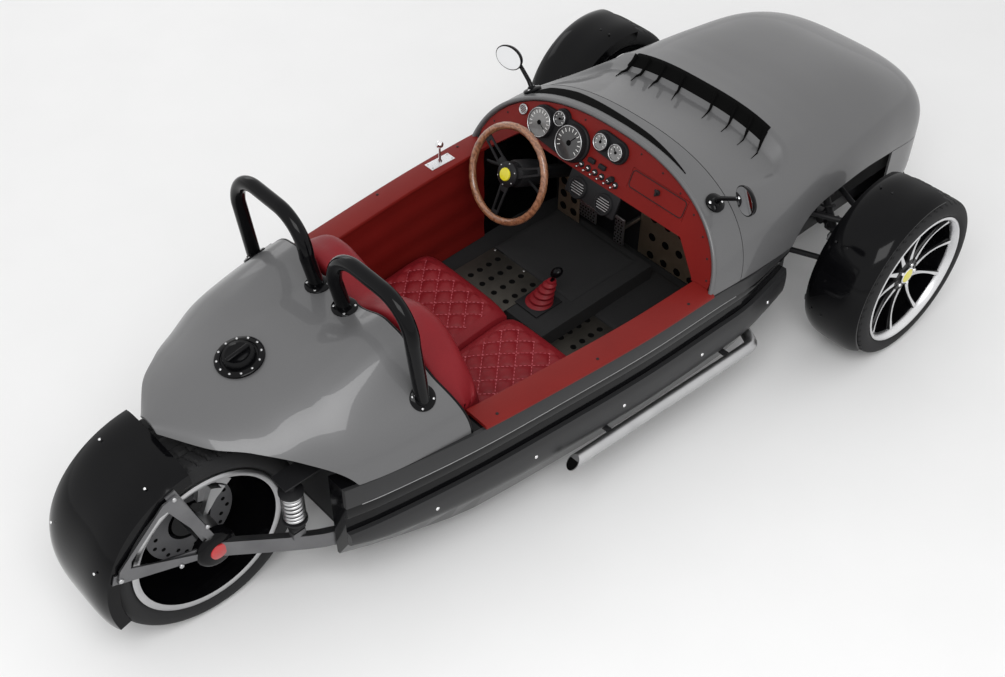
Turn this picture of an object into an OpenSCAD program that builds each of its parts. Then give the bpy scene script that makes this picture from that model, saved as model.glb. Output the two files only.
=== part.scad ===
// Open three-wheeled roadster: two steered wheels in front, one wheel on a
// single-sided swing arm behind, a hollow two-seat cabin and a boat-tail deck.
// X points forward, Y to the left, Z up. Every module draws from the front axle
// line on the ground; place() then moves it so that the origin is mid-length.

/* [Running gear] */
// Distance between the front axle line and the rear axle line
wheelbase = 2540; // [2480:10:2600]
// Distance between the middle planes of the two front tyres
track = 1496; // [1480:4:1540]
// Outside radius of a front tyre
front_tyre_r = 318; // [312:1:322]
// Width of a front tyre
front_tyre_w = 225; // [215:1:230]
// Outside radius of the rear tyre
rear_tyre_r = 328; // [320:1:334]
// Width of the rear tyre
rear_tyre_w = 285; // [275:1:290]
// Radius of a rim over its flange
rim_r = 257; // [250:1:262]
// Spokes on each front rim
spokes = 10; // [6:1:12]
// Gap between a front tyre and its mudguard
front_guard_gap = 26; // [20:1:32]
// Gap between the rear tyre and its mudguard
rear_guard_gap = 36; // [28:1:42]
// Thickness of a mudguard
guard_t = 5; // [4:0.5:8]

/* [Body] */
// Distance from the front axle line to the nose
front_overhang = 745; // [720:5:780]
// Width of the body at the cowl
body_w = 1240; // [1220:5:1260]
// Height of the sills above the ground
sill_h = 590; // [575:5:605]
// Height of the cowl hoop above the ground
cowl_h = 885; // [875:5:900]
// Height of the rear deck above the ground, at its front edge
deck_h = 850; // [840:2:860]
// Thickness of the body skins
skin = 8; // [6:0.5:10]
// Thickness of the hollow side walls
wall = 64; // [56:2:72]
// Height of the floor's underside above the ground
floor_h = 140; // [130:2:150]
// Thickness of the floor
floor_t = 18; // [12:1:22]

/* [Cabin] */
// Height of the seat cushions' top at their front edge
seat_h = 340; // [320:5:360]
// Radius of the steering wheel to the middle of its rim
steer_r = 172; // [160:2:180]
// Thickness of the steering wheel's rim
steer_rim_t = 28; // [24:1:32]
// Slope of the steering column from level
column_slope = 24; // [20:1:28]
// Thickness of the dash panel
dash_t = 16; // [12:1:20]

/* [Details] */
// Diameter of the roll hoops' tube
hoop_d = 46; // [40:1:50]
// Height of the roll hoops' middle line above the ground
hoop_h = 1090; // [1070:2:1110]
// Diameter of the side exhausts
exhaust_d = 54; // [48:1:60]
// Diameter of the fuel filler's flange
filler_d = 150; // [130:2:160]
// Fins in the bonnet vent
fins = 7; // [3:1:9]

/* [Hidden] */
$fn = 48;

// Gap where one piece seats on another, the same for a curved edge, and how far a cut runs past its faces
seat_gap = 0.3;
edge_gap = 0.8;
overrun = 2;
half_w = body_w / 2;
rear_x = -wheelbase;
front_guard_r = front_tyre_r + front_guard_gap + guard_t;
rear_guard_r = rear_tyre_r + rear_guard_gap + guard_t;
length = front_overhang + wheelbase + rear_guard_r;
front_x = length / 2 - front_overhang;

module place() {
    translate([front_x, 0, 0]) children();
}

// Both sides of the car: the left as drawn, the right mirrored
module both() {
    children();
    mirror([0, 1, 0]) children();
}

// A rod between two points
module rod(p, q, r) {
    d = q - p;
    translate(p) rotate([0, acos(d[2] / norm(d)), atan2(d[1], d[0])]) cylinder(r = r, h = norm(d));
}

// A closed solid between two equal grids of points, a outside and b inside; the columns are turned
// round where they would wind the wrong way
function reversed(v) = [for (i = [len(v) - 1 : -1 : 0]) v[i]];
module slab(a, b) {
    n = len(a);
    m = len(a[0]);
    i = floor((n - 1) / 2);
    j = floor((m - 1) / 2);
    wound = cross(a[i + 1][j] - a[i][j], a[i][j + 1] - a[i][j]) * (a[i][j] - b[i][j]) < 0;
    turned = function(g) wound ? g : [for (row = g) reversed(row)];
    slab_mesh(turned(a), turned(b), n, m);
}
module slab_mesh(a, b, n, m) {
    at = function(side, i, j) side * n * m + i * m + j;
    quad = function(p, q, r, s) [[p, q, r], [p, r, s]];
    skins = [for (i = [0 : n - 2]) for (j = [0 : m - 2]) for (f = concat(
        quad(at(0, i, j), at(0, i + 1, j), at(0, i + 1, j + 1), at(0, i, j + 1)),
        quad(at(1, i, j), at(1, i, j + 1), at(1, i + 1, j + 1), at(1, i + 1, j)))) f];
    ends = [for (i = [0 : n - 2]) for (f = concat(
        quad(at(0, i, 0), at(1, i, 0), at(1, i + 1, 0), at(0, i + 1, 0)),
        quad(at(0, i, m - 1), at(0, i + 1, m - 1), at(1, i + 1, m - 1), at(1, i, m - 1)))) f];
    sides = [for (j = [0 : m - 2]) for (f = concat(
        quad(at(0, 0, j), at(0, 0, j + 1), at(1, 0, j + 1), at(1, 0, j)),
        quad(at(0, n - 1, j), at(1, n - 1, j), at(1, n - 1, j + 1), at(0, n - 1, j + 1)))) f];
    polyhedron(points = [for (g = [a, b]) for (row = g) for (p = row) p], faces = concat(skins, ends, sides));
}

// A round tube swept along points. Each ring is square to the path; foot gives the last ring's heights
function unit(v) = v / norm(v);
function tangent(path, i) = unit(path[min(i + 1, len(path) - 1)] - path[max(i - 1, 0)]);
function ring(c, t, up, r, sides) =
    let (u = unit(cross(t, up)), v = cross(u, t))
    [for (k = [0 : sides - 1]) c + r * (cos(360 * k / sides) * u + sin(360 * k / sides) * v)];
module skin_rings(rings) {
    n = len(rings);
    sides = len(rings[0]);
    walls = [for (i = [0 : n - 2]) for (k = [0 : sides - 1])
        let (k2 = (k + 1) % sides, p = i * sides)
        for (f = [[p + k, p + k2, p + sides + k2], [p + k, p + sides + k2, p + sides + k]]) f];
    caps = [[for (k = [sides - 1 : -1 : 0]) k], [for (k = [0 : sides - 1]) (n - 1) * sides + k]];
    polyhedron(points = [for (g = rings) for (p = g) p], faces = concat(walls, caps));
}
module tube(path, r, up, sides) {
    skin_rings([for (i = [0 : len(path) - 1]) ring(path[i], tangent(path, i), up, r, sides)]);
}

// A smooth curve through the rows of a table: one column at row place u
function cell(rows, i, c) = rows[max(0, min(len(rows) - 1, i))][c];
function smooth(rows, c, u) =
    let (i = min(floor(u), len(rows) - 2), t = u - i,
        p0 = cell(rows, i - 1, c), p1 = cell(rows, i, c),
        p2 = cell(rows, i + 1, c), p3 = cell(rows, i + 2, c))
    p1 + t * ((p2 - p0) / 2 + t * (p0 - 2.5 * p1 + 2 * p2 - p3 / 2 + t * (1.5 * (p1 - p2) + (p3 - p0) / 2)));
// A table's column as a fine list of [place, value], to look up by place
fine = 6;
function fine_line(rows, c) = [for (k = [0 : fine * (len(rows) - 1)])
    [smooth(rows, 0, k / fine), smooth(rows, c, k / fine)]];

// A body section: a squared arch of half width w over a base line, at angle a from upright
function arch(w, base, h, square, a) =
    [sign(a) * w * pow(abs(sin(a)), 2 / square), base + h * pow(abs(cos(a)), 2 / square)];
// The angle at which an arch comes down to height z, and its height at a width y
function arch_end(base, h, square, z) = acos(pow(max(0, min(1, (z - base) / h)), square / 2));
function arch_z(w, base, h, square, y) =
    base + h * pow(max(0, 1 - pow(min(1, abs(y) / w), square)), 1 / square);

function spread(x0, x1, n) = [for (i = [0 : n]) x0 + (x1 - x0) * i / n];

// Sides of the body, straight between stations so that pieces seat on each other. Columns: along (share of
// the wheelbase), half width (share of half_w), then the
// heights of the band's top, band's foot, rocker's top and rocker's foot (shares of sill_h)
side_shares = [[0.155, 0.9, 0.875, 0.82, 0.7, 0.47], [0.2, 0.935, 0.91, 0.82, 0.7, 0.465],
    [0.256, 0.965, 0.945, 0.82, 0.695, 0.455], [0.32, 0.962, 0.98, 0.815, 0.69, 0.45],
    [0.45, 0.945, 0.98, 0.81, 0.685, 0.445], [0.58, 0.9, 0.98, 0.805, 0.68, 0.445],
    [0.715, 0.838, 0.98, 0.79, 0.67, 0.455], [0.83, 0.75, 0.98, 0.77, 0.65, 0.49],
    [0.882, 0.695, 0.98, 0.765, 0.64, 0.54]];
side_steps = 20;
side_ends = [side_shares[0][0], side_shares[len(side_shares) - 1][0]];
side_lines = [for (c = [1 : 5]) let (curve = fine_line(side_shares, c))
    [for (k = spread(side_ends[0], side_ends[1], side_steps)) [k, lookup(k, curve)]]];
function plan_w(x) = lookup(-x / wheelbase, side_lines[0]) * half_w;
function side_z(c, x) = lookup(-x / wheelbase, side_lines[c]) * sill_h;
function band_top(x) = side_z(1, x);
function band_low(x) = side_z(2, x);
function rocker_top(x) = side_z(3, x);
function rocker_low(x) = side_z(4, x);
side_front = -side_ends[0] * wheelbase;
side_rear = -side_ends[1] * wheelbase;
side_xs = spread(side_front, side_rear, side_steps);
band_t = 14;
rocker_bulge = 10;
wall_foot_t = 10;
floor_top = floor_h + floor_t;
tail_rise = 80;
function room_w(x) = plan_w(x) - band_t - wall - seat_gap;

// Where the cabin's pieces stand along the car
firewall_x = -0.19 * wheelbase;
seat_front = -0.475 * wheelbase;
seat_rear = -0.66 * wheelbase;
bulkhead_x = -0.715 * wheelbase;
floor_rear = rear_x + rear_tyre_r + rear_guard_gap;
plate_t = 6;

// The underside, level under the cabin and rising to the tail
function foot_z(x) = floor_h + tail_rise * max(0, (bulkhead_x - x) / (bulkhead_x - side_rear));

// The floor, with a raised tunnel for the driver's mat and the centre lever
tunnel_h = 70;
tunnel_front = -0.225 * wheelbase;
tunnel_rear = -0.45 * wheelbase;
tunnel_right = -100;
tunnel_left = 320;
module floor_pan() {
    xs = concat(spread(side_front, bulkhead_x, side_steps), [floor_rear]);
    grid = function(t) [for (x = xs) [[x, -room_w(x), foot_z(x) + t], [x, room_w(x), foot_z(x) + t]]];
    color("dimgray") place() {
        slab(grid(floor_t), grid(0));
        translate([tunnel_rear, tunnel_right, floor_h])
            cube([tunnel_front - tunnel_rear, tunnel_left - tunnel_right, floor_t + tunnel_h]);
    }
}

module side_walls() {
    color("black") place() both() slab(
        [for (x = side_xs) let (w = plan_w(x) - band_t, z = band_top(x))
            [[x, w, z], [x, w, rocker_low(x)], [x, w - wall + wall_foot_t, foot_z(x)]]],
        [for (x = side_xs) let (w = plan_w(x) - band_t - wall, z = band_top(x))
            [[x, w, z], [x, w, rocker_low(x)], [x, w, foot_z(x)]]]);
}
module side_bands() {
    color("darkslategray") place() both() slab(
        [for (x = side_xs) let (w = plan_w(x)) [[x, w, band_top(x)], [x, w, band_low(x)]]],
        [for (x = side_xs) let (w = plan_w(x) - band_t + seat_gap)
            [[x, w, band_top(x)], [x, w, band_low(x)]]]);
}

// Rocker sections. Columns: height (share from the rocker's foot to its top), bulge (share of rocker_bulge)
rocker_shares = [[1, 0.2], [0.8, 0.9], [0.45, 1], [0.2, 0.5], [0, -0.9]];
module rockers() {
    color("darkslategray") place() both() slab(
        [for (x = side_xs) [for (r = rocker_shares) [x, plan_w(x) + r[1] * rocker_bulge,
            rocker_low(x) + r[0] * (rocker_top(x) - rocker_low(x))]]],
        [for (x = side_xs) [for (r = rocker_shares) [x, plan_w(x) - band_t + seat_gap,
            rocker_low(x) + r[0] * (rocker_top(x) - rocker_low(x))]]]);
}

// Red caps on the sills between the cowl and the seats
cap_in = 12;
cap_out = 2;
cap_rear = -0.703 * wheelbase;
module sill_trims() {
    cap_front = hoop_foot_x(band_top(hoop_x)) - 2 * seat_gap;
    xs = spread(cap_front, cap_rear, side_steps);
    grid = function(top) [for (x = xs) let (z = top ? sill_h : band_top(x) + edge_gap)
        [[x, plan_w(x) - cap_out, z], [x, room_w(x) - cap_in, z]]];
    color("firebrick") place() both() slab(grid(true), grid(false));
}

module cross_plate(x, z1) {
    w = min(room_w(x), room_w(x - plate_t));
    z0 = foot_z(x - plate_t) + floor_t + seat_gap;
    translate([x - plate_t, -w, z0]) cube([plate_t, 2 * w, z1 - z0]);
}
module firewall() {
    color("saddlebrown") place() cross_plate(firewall_x, band_top(firewall_x));
}
module rear_bulkhead() {
    color("dimgray") place() cross_plate(bulkhead_x, band_top(bulkhead_x));
}
// The shield behind the cabin, with the shelf that the coil-over hangs from
module rear_shield() {
    color("black") place() {
        cross_plate(floor_rear + plate_t, sill_h);
        translate([floor_rear - shelf_l, shock_y - shelf_w / 2, shock_top])
            cube([shelf_l + plate_t / 2, shelf_w, plate_t]);
    }
}

// Front body sections, nose to cowl hoop. Columns: along (share of the length from nose to hoop), half
// width (share of half_w), crown height and base height (shares of cowl_h), squareness, lean of the section
front_shares = [[0, 0.42, 0.614, 0.5, 2.6, 0], [0.038, 0.575, 0.715, 0.495, 2.8, 0],
    [0.114, 0.68, 0.8, 0.49, 3.2, 0], [0.257, 0.735, 0.886, 0.485, 3.3, 0],
    [0.428, 0.79, 0.927, 0.485, 3.1, 0], [0.599, 0.85, 0.945, 0.49, 2.9, 0.02],
    [0.78, 0.925, 0.958, 0.53, 2.6, 0.12],
    [0.931, 0.962, 0.992, 0.58, 2.4, 0.3], [1, 0.955, 1.0, 0.6, 2.3, 0.45]];
bonnet_rows = 7;
lip_out = 20;
body_nose = front_overhang - lip_out;
hoop_x = -0.2835 * wheelbase;
front_l = body_nose - hoop_x;
nose_sweep = 46;
shut_gap = 3;
// The edge over the wheel. Columns: along (share of the wheelbase, rearward), height (share of sill_h)
arch_shares = [[-0.24, 0.735], [-0.108, 0.873], [-0.04, 0.93], [0.03, 0.965], [0.085, 0.985], [0.12, 0.97],
    [0.145, 0.925], [0.155, 0.89]];
arch_line = fine_line(arch_shares, 1);
across_steps = 22;
bonnet_steps = 28;
cowl_steps = 5;
// The step behind the raised lip. Columns: section row, height (share of dip_h)
dip_shares = [[4.75, 0], [5.25, 0.3], [5.5, 0.55], [5.75, -1], [6, -0.9], [6.5, -0.45], [7, 0]];
dip_h = 30;
dip_wide_share = 0.56;
dip_fade_share = 0.1;
function dip(u, a_share) = dip_h * lookup(u, dip_shares)
    * max(0, min(1, (dip_wide_share - abs(a_share)) / dip_fade_share));
function wheel_arch(x) = lookup(-x / wheelbase, arch_line) * sill_h;
function front_edge(x, base) = x < side_front ? band_top(x) + edge_gap : max(base, wheel_arch(x));
function front_point(u, a_share, inset) =
    let (x = body_nose - smooth(front_shares, 0, u) * front_l,
        w = smooth(front_shares, 1, u) * half_w - inset,
        crown = smooth(front_shares, 2, u) * cowl_h - inset,
        base = smooth(front_shares, 3, u) * cowl_h - overrun,
        square = smooth(front_shares, 4, u),
        lean = smooth(front_shares, 5, u),
        edge = front_edge(x - lean * (crown - base), base),
        a = a_share * arch_end(base, crown - base, square, edge),
        yz = arch(w, base, crown - base, square, a),
        sweep = nose_sweep * pow(max(0, 1 - u / 2), 2))
    [x - inset * max(0, 1 - u / 2) - sweep * pow(sin(a), 2) - lean * (crown - yz[1]),
        yz[0], yz[1] + dip(u, a_share)];
function front_grid(us, inset) = [for (u = us) [for (j = [0 : across_steps])
    front_point(u, 2 * j / across_steps - 1, inset)]];
hoop_row = len(front_shares) - 1;
hoop_tilt = front_shares[hoop_row][5];
hoop_lean = atan(hoop_tilt);
// Where the cowl's rear edge stands at a height
function hoop_foot_x(z) = hoop_x - shut_gap - hoop_tilt * (cowl_h - z);
bonnet_us = spread(0, bonnet_rows, bonnet_steps);
cowl_us = spread(bonnet_rows, hoop_row, cowl_steps);

module bonnet() {
    color("gray") place() slab(front_grid(bonnet_us, 0), front_grid(bonnet_us, skin));
}
// The cowl ends in a rim that is thicker than its skin
rim_t = 15;
rim_rows = 2;
module cowl() {
    last = len(cowl_us) - 1;
    color("gray") place() translate([-shut_gap, 0, 0]) slab(front_grid(cowl_us, 0),
        [for (i = [0 : last]) front_grid([cowl_us[i]], i > last - rim_rows ? rim_t : skin)[0]]);
}

// The vent: a black panel on the step behind the lip with fins behind it, both on the bonnet's own facets.
// Stations are the bonnet's, and columns count out from the middle one
vent_us = [5.5, 5.75];
fin_us = [5.75, 6, 6.25];
vent_columns = 5;
vent_h = 5;
fin_hs = [26, 15, 3];
fin_t = 5;
function lifted(p, h) = p + [0, 0, h];
function column_share(c) = 2 * c / across_steps;
module bonnet_vent() {
    cs = spread(-vent_columns, vent_columns, 2 * vent_columns);
    bar = function(h) [for (u = vent_us) [for (c = cs) lifted(front_point(u, column_share(c), 0), h)]];
    color("black") place() {
        slab(bar(vent_h), bar(edge_gap));
        for (c = spread(-vent_columns, vent_columns, fins - 1)) {
            fin = function(top) [for (i = [0 : len(fin_us) - 1]) [for (y = [-fin_t, fin_t] / 2)
                front_point(fin_us[i], column_share(c), 0)
                    + [0, y, top ? fin_hs[i] + edge_gap : 2 * edge_gap]]];
            slab(fin(true), fin(false));
        }
    }
}

// Plan of the nose below the bonnet: the bonnet's own edge round the corners, and a bowed lip in front
corner_us = spread(3, 0, 6);
nose_low = 190;
lip_top = 262;
lip_steps = 8;
splitter_t = 12;
splitter_out = 14;
lip_share = 0.97;
function nose_side(sgn) = [for (u = corner_us) lifted(front_point(u, sgn, 0), -shut_gap)];
nose_corner = nose_side(1)[len(corner_us) - 1];
lip_bow = front_overhang - splitter_out - nose_corner[0];
nose_lip = [for (k = [1 : lip_steps - 1]) let (s = 1 - 2 * k / lip_steps)
    [nose_corner[0] + lip_bow * (1 - s * s), nose_corner[1] * s * lip_share, lip_top]];
nose_path = concat(nose_side(1), nose_lip, reversed(nose_side(-1)));
function plan_in(path, i) = let (t = tangent(path, i)) unit([t[1], -t[0], 0]);
nose_tuck = 12;
module nose_panel() {
    height_shares = [0, 0.55, 1];
    tuck_shares = [0, 0, 1];
    grid = function(inset) [for (i = [0 : len(nose_path) - 1]) [for (j = [0 : 2])
        let (p = nose_path[i])
        [p[0], p[1], p[2] + (nose_low - p[2]) * height_shares[j]]
            + (inset + nose_tuck * tuck_shares[j]) * plan_in(nose_path, i)]];
    color("gray") place() slab(grid(0), grid(skin));
}

grille_x = nose_corner[0] - 40;
grille_t = 14;
module splitter() {
    grid = function(z) [for (i = [0 : len(nose_path) - 1]) let (p = nose_path[i])
        [[p[0], p[1], z] - splitter_out * plan_in(nose_path, i),
            [min(p[0], grille_x) - grille_t, p[1] / 2, z]]];
    color("black") place() slab(grid(nose_low - seat_gap), grid(nose_low - splitter_t));
}
grille_w = 440;
grille_top = 420;
bar_t = 6;
upright_bars = 9;
cross_bars = 4;
module grille() {
    h = grille_top - nose_low;
    color("black") place() translate([grille_x, -grille_w / 2, nose_low]) {
        for (k = [0 : upright_bars]) translate([0, k * grille_w / upright_bars - bar_t / 2, 0])
            cube([grille_t, bar_t, h]);
        for (k = [0 : cross_bars]) translate([0, -bar_t / 2, k * (h - bar_t) / cross_bars])
            cube([grille_t, grille_w + bar_t, bar_t]);
    }
}
lamp_r = 58;
lamp_l = 46;
lamp_y = 150;
lamp_z = 340;
module headlamps() {
    color("white") place() both() translate([grille_x + grille_t + seat_gap, lamp_y, lamp_z])
        rotate([0, 90, 0]) cylinder(r = lamp_r, h = lamp_l);
}

// Dash: a plate in the leaning plane of the cowl hoop. Inside at_dash() X is across the car to the left,
// Y up the plate from the sill and Z is out of the plate to the front
dash_half = front_shares[hoop_row][1] * half_w;
dash_low = 687;
dash_set = 6;
dash_leg = 70;
knee_r = 100;
module at_dash() {
    translate([hoop_foot_x(sill_h), 0, sill_h])
        rotate([0, hoop_lean, 0]) rotate([90, 0, 90]) children();
}
function up_dash(z) = (z - sill_h) / cos(hoop_lean);
module dash_outline() {
    top = [for (j = [across_steps : -1 : 0])
        let (p = front_point(hoop_row, 2 * j / across_steps - 1, rim_t + seat_gap))
        if (p[2] > sill_h + cap_in) [p[1], up_dash(p[2])]];
    foot = top[0][0];
    knee = foot - dash_leg;
    low = 2 * seat_gap;
    polygon(concat(top, [[-foot, low], [-knee, low], [-knee, up_dash(dash_low) - knee_r],
        [knee_r - knee, up_dash(dash_low)], [knee - knee_r, up_dash(dash_low)],
        [knee, up_dash(dash_low) - knee_r], [knee, low], [foot, low]]));
}
lid_w = 252;
lid_h = 74;
lid_gap = 1.5;
lid_right = -374;
lid_up = 48;
lid_low = up_dash(dash_low) + lid_up;
lid_t = 12;
bin_l = 120;
bin_t = 4;
module dash() {
    color("firebrick") place() at_dash() difference() {
        union() {
            translate([0, 0, dash_set]) linear_extrude(dash_t) dash_outline();
            translate([lid_right - bin_t, lid_low - bin_t, dash_set + dash_t / 2])
                cube([lid_w + 2 * bin_t, lid_h + 2 * bin_t, bin_l]);
        }
        translate([lid_right, lid_low, dash_set - overrun])
            cube([lid_w, lid_h, dash_t / 2 + bin_l - bin_t + overrun]);
    }
}
module glovebox_lid() {
    color("firebrick") place() at_dash() translate([lid_right + lid_gap, lid_low + seat_gap, dash_set])
        cube([lid_w - 2 * lid_gap, lid_h - lid_gap - seat_gap, lid_t]);
}

// Instruments. Columns: across (share of dash_half), up (share of the dash's height), radius, depth
dash_top = up_dash(cowl_h);
dial_shares = [[0.5, 0.6, 56, 34], [0.375, 0.75, 30, 26], [0.24, 0.585, 64, 38], [0.045, 0.77, 33, 26],
    [-0.08, 0.755, 33, 26], [0.68, 0.6, 17, 8]];
// A row of switches under the middle dials
switches = 6;
switch_r = 7;
switch_l = 22;
switch_from_share = 0.14;
switch_step_share = 0.055;
switch_up_share = 0.42;
module instruments() {
    color("black") place() at_dash() translate([0, 0, dash_set - seat_gap]) mirror([0, 0, 1]) {
        for (d = dial_shares) translate([d[0] * dash_half, d[1] * dash_top, 0]) cylinder(r = d[2], h = d[3]);
        for (k = [0 : switches - 1])
            translate([(switch_from_share - switch_step_share * k) * dash_half,
                switch_up_share * dash_top, 0]) cylinder(r = switch_r, h = switch_l);
    }
}

// Steering: the column stands on the firewall, the wheel turns on its end
steer_x = -0.372 * wheelbase;
steer_y = 300;
steer_z = 620;
column_r = 26;
hub_r = 42;
hub_l = 60;
spoke_w = 34;
spoke_t = 6;
steer_spokes = 3;
module at_column() {
    translate([steer_x, steer_y, steer_z]) rotate([0, -90 + column_slope, 0]) children();
}
module steering_column() {
    reach = (firewall_x - plate_t - 2 * seat_gap - steer_x) / cos(column_slope);
    l = reach - column_r * tan(column_slope) - hub_l / 2;
    color("black") place() at_column() translate([0, 0, -hub_l / 2 - l])
        cylinder(r = column_r, h = l - seat_gap);
}
module steering_wheel() {
    color("peru") place() at_column() {
        rotate_extrude() translate([steer_r, 0]) circle(d = steer_rim_t);
        translate([0, 0, -hub_l / 2]) cylinder(r = hub_r, h = hub_l);
        for (k = [0 : steer_spokes - 1]) rotate([0, 0, 60 + 120 * k])
            translate([0, -spoke_w / 2, -spoke_t / 2]) cube([steer_r, spoke_w, spoke_t]);
    }
}

// Pedals. Columns: across from the middle, height of the pad's middle, pad width, pad height
pedal_sizes = [[190, 300, 90, 70], [70, 290, 50, 120]];
pedal_l = 110;
pedal_t = 8;
pedal_arm = 14;
module pedals() {
    color("silver") place() for (s = pedal_sizes)
        translate([firewall_x - plate_t - seat_gap, s[0], s[1]]) {
            translate([-pedal_l, -pedal_arm / 2, -pedal_arm / 2]) cube([pedal_l, pedal_arm, pedal_arm]);
            translate([-pedal_l - pedal_t, -s[2] / 2, -s[3] / 2]) cube([pedal_t + overrun, s[2], s[3]]);
        }
}

// Seats: two cushions on the floor and one back across the cabin
seat_mid = 20;
seat_side = cap_in + 4;
seat_sink = 50;
cushion_steps = 6;
function cushion_in(s, edge) = edge * pow(abs(2 * s - 1), 6);
module seat_cushions() {
    xs = spread(seat_front, seat_rear, cushion_steps);
    ys = spread(0, 1, cushion_steps);
    top = function(s, t) seat_h - seat_sink * s - cushion_in(s, seat_sink / 2) - cushion_in(t, seat_sink / 3);
    grid = function(low) [for (i = [0 : cushion_steps]) [for (t = ys)
        let (x = xs[i], y0 = room_w(seat_rear) - seat_side, y = y0 + (seat_mid / 2 - y0) * t)
        [x, y, low ? floor_top + seat_gap : top(i / cushion_steps, t)]]];
    color("firebrick") place() both() slab(grid(false), grid(true));
}

// Seat back sections across the car. Columns: across (share of the room's half width), top (share of deck_h)
back_shares = [[-1, 0.73], [-0.86, 0.85], [-0.66, 0.96], [-0.46, 0.985], [-0.26, 0.96], [0, 0.905],
    [0.26, 0.96], [0.46, 0.985], [0.66, 0.96], [0.86, 0.85], [1, 0.73]];
back_t = 120;
back_low = seat_h - seat_sink + 12;
back_lean = 60;
back_roll_share = 0.6;
back_rise = 8;
deck_front = -0.748 * wheelbase;
back_steps = 3;
module seat_back() {
    us = spread(0, len(back_shares) - 1, back_steps * (len(back_shares) - 1));
    w = room_w(bulkhead_x) - seat_side;
    grid = function(front) [for (u = us)
        let (y = smooth(back_shares, 0, u) * w, top = smooth(back_shares, 1, u) * deck_h,
            rear = bulkhead_x + seat_gap, f = front ? back_t : 0)
        [[rear + f + (front ? back_lean : 0), y, back_low],
            [rear + f, y, band_top(bulkhead_x) + back_rise],
            [rear + f - back_lean / 2, y, top - (front ? back_t / 3 : back_rise)],
            [rear + f * back_roll_share - back_lean, y, top - (front ? 0 : back_rise)]]];
    color("firebrick") place() slab(grid(true), grid(false));
}

// Deck sections, front to tail. Columns: along (share of the deck's length), half width (share of half_w),
// crown height and base height (shares of deck_h), fairing (share), height of the cut over the rear wheel
// (share of deck_h)
deck_shares = [[0, 0.815, 1.0, 0.66, 1, 0.3], [0.12, 0.79, 0.995, 0.655, 0.85, 0.35],
    [0.25, 0.763, 0.985, 0.65, 0.6, 0.4], [0.37, 0.732, 0.975, 0.645, 0.35, 0.55],
    [0.46, 0.701, 0.962, 0.64, 0.15, 0.713], [0.6, 0.619, 0.942, 0.64, 0, 0.796],
    [0.75, 0.523, 0.925, 0.674, 0, 0.848], [0.88, 0.378, 0.915, 0.722, 0, 0.867],
    [1, 0.11, 0.91, 0.766, 0, 0.885]];
deck_overhang = 35;
deck_tail = rear_x - deck_overhang;
deck_l = deck_front - deck_tail;
deck_square = 2.3;
deck_steps = 24;
deck_across = 36;
deck_sweep = 75;
sweep_rows = 3;
// The deck's clearance over the rear tyre, and its least rise above its own low edge
deck_clear = 20;
deck_least = 12;
fairing_y = 248;
fairing_w = 150;
fairing_h = 52;
fairing_full_share = 1.3;
function fairing(y) = min(1, fairing_full_share * max(0, 1 - abs(abs(y) - fairing_y) / fairing_w));
function over_wheel(x) =
    rear_tyre_r + sqrt(max(0, pow(rear_tyre_r + deck_clear, 2) - pow(x - rear_x, 2)));
function deck_point(u, a_share, inset) =
    let (x = deck_front - smooth(deck_shares, 0, u) * deck_l,
        w = smooth(deck_shares, 1, u) * half_w - inset,
        sweep = deck_swept(u),
        cut = max(band_top(x + sweep) + edge_gap, over_wheel(x), smooth(deck_shares, 5, u) * deck_h),
        crown = max(smooth(deck_shares, 2, u) * deck_h, cut + deck_least) - inset,
        base = min(smooth(deck_shares, 3, u) * deck_h, cut),
        a = a_share * arch_end(base, crown - base, deck_square, cut),
        yz = arch(w, base, crown - base, deck_square, a),
        bump = smooth(deck_shares, 4, u) * fairing_h * fairing(yz[0]))
    [x + sweep * pow(sin(a), 4), yz[0], yz[1] + bump];
deck_us = spread(0, len(deck_shares) - 1, deck_steps);
function deck_grid(inset) = [for (u = deck_us) [for (j = [0 : deck_across])
    deck_point(u, 2 * j / deck_across - 1, inset)]];
module deck() {
    color("gray") place() slab(deck_grid(0), deck_grid(skin));
}
deck_lines = [for (c = [1 : 4]) fine_line(deck_shares, c)];
deck_rows = [for (k = [0 : fine * (len(deck_shares) - 1)]) [smooth(deck_shares, 0, k / fine), k / fine]];
function deck_swept(u) = deck_sweep * pow(max(0, 1 - u / sweep_rows), 2);
function deck_z(x, y) =
    let (s0 = (deck_front - x) / deck_l, y_share = min(1, abs(y) / (lookup(s0, deck_lines[0]) * half_w)),
        s = s0 + deck_swept(lookup(s0, deck_rows)) * pow(y_share, 2 * deck_square) / deck_l,
        w = lookup(s, deck_lines[0]) * half_w,
        crown = lookup(s, deck_lines[1]) * deck_h,
        base = min(lookup(s, deck_lines[2]) * deck_h, band_top(x) + edge_gap))
    arch_z(w, base, crown - base, deck_square, y) + lookup(s, deck_lines[3]) * fairing_h * fairing(y);
// The plane on which a foot of radius r stands: height at its middle and slopes along and across
function deck_plane(x, y, r) = [deck_z(x, y), (deck_z(x + r, y) - deck_z(x - r, y)) / (2 * r),
    (deck_z(x, y + r) - deck_z(x, y - r)) / (2 * r)];

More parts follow.
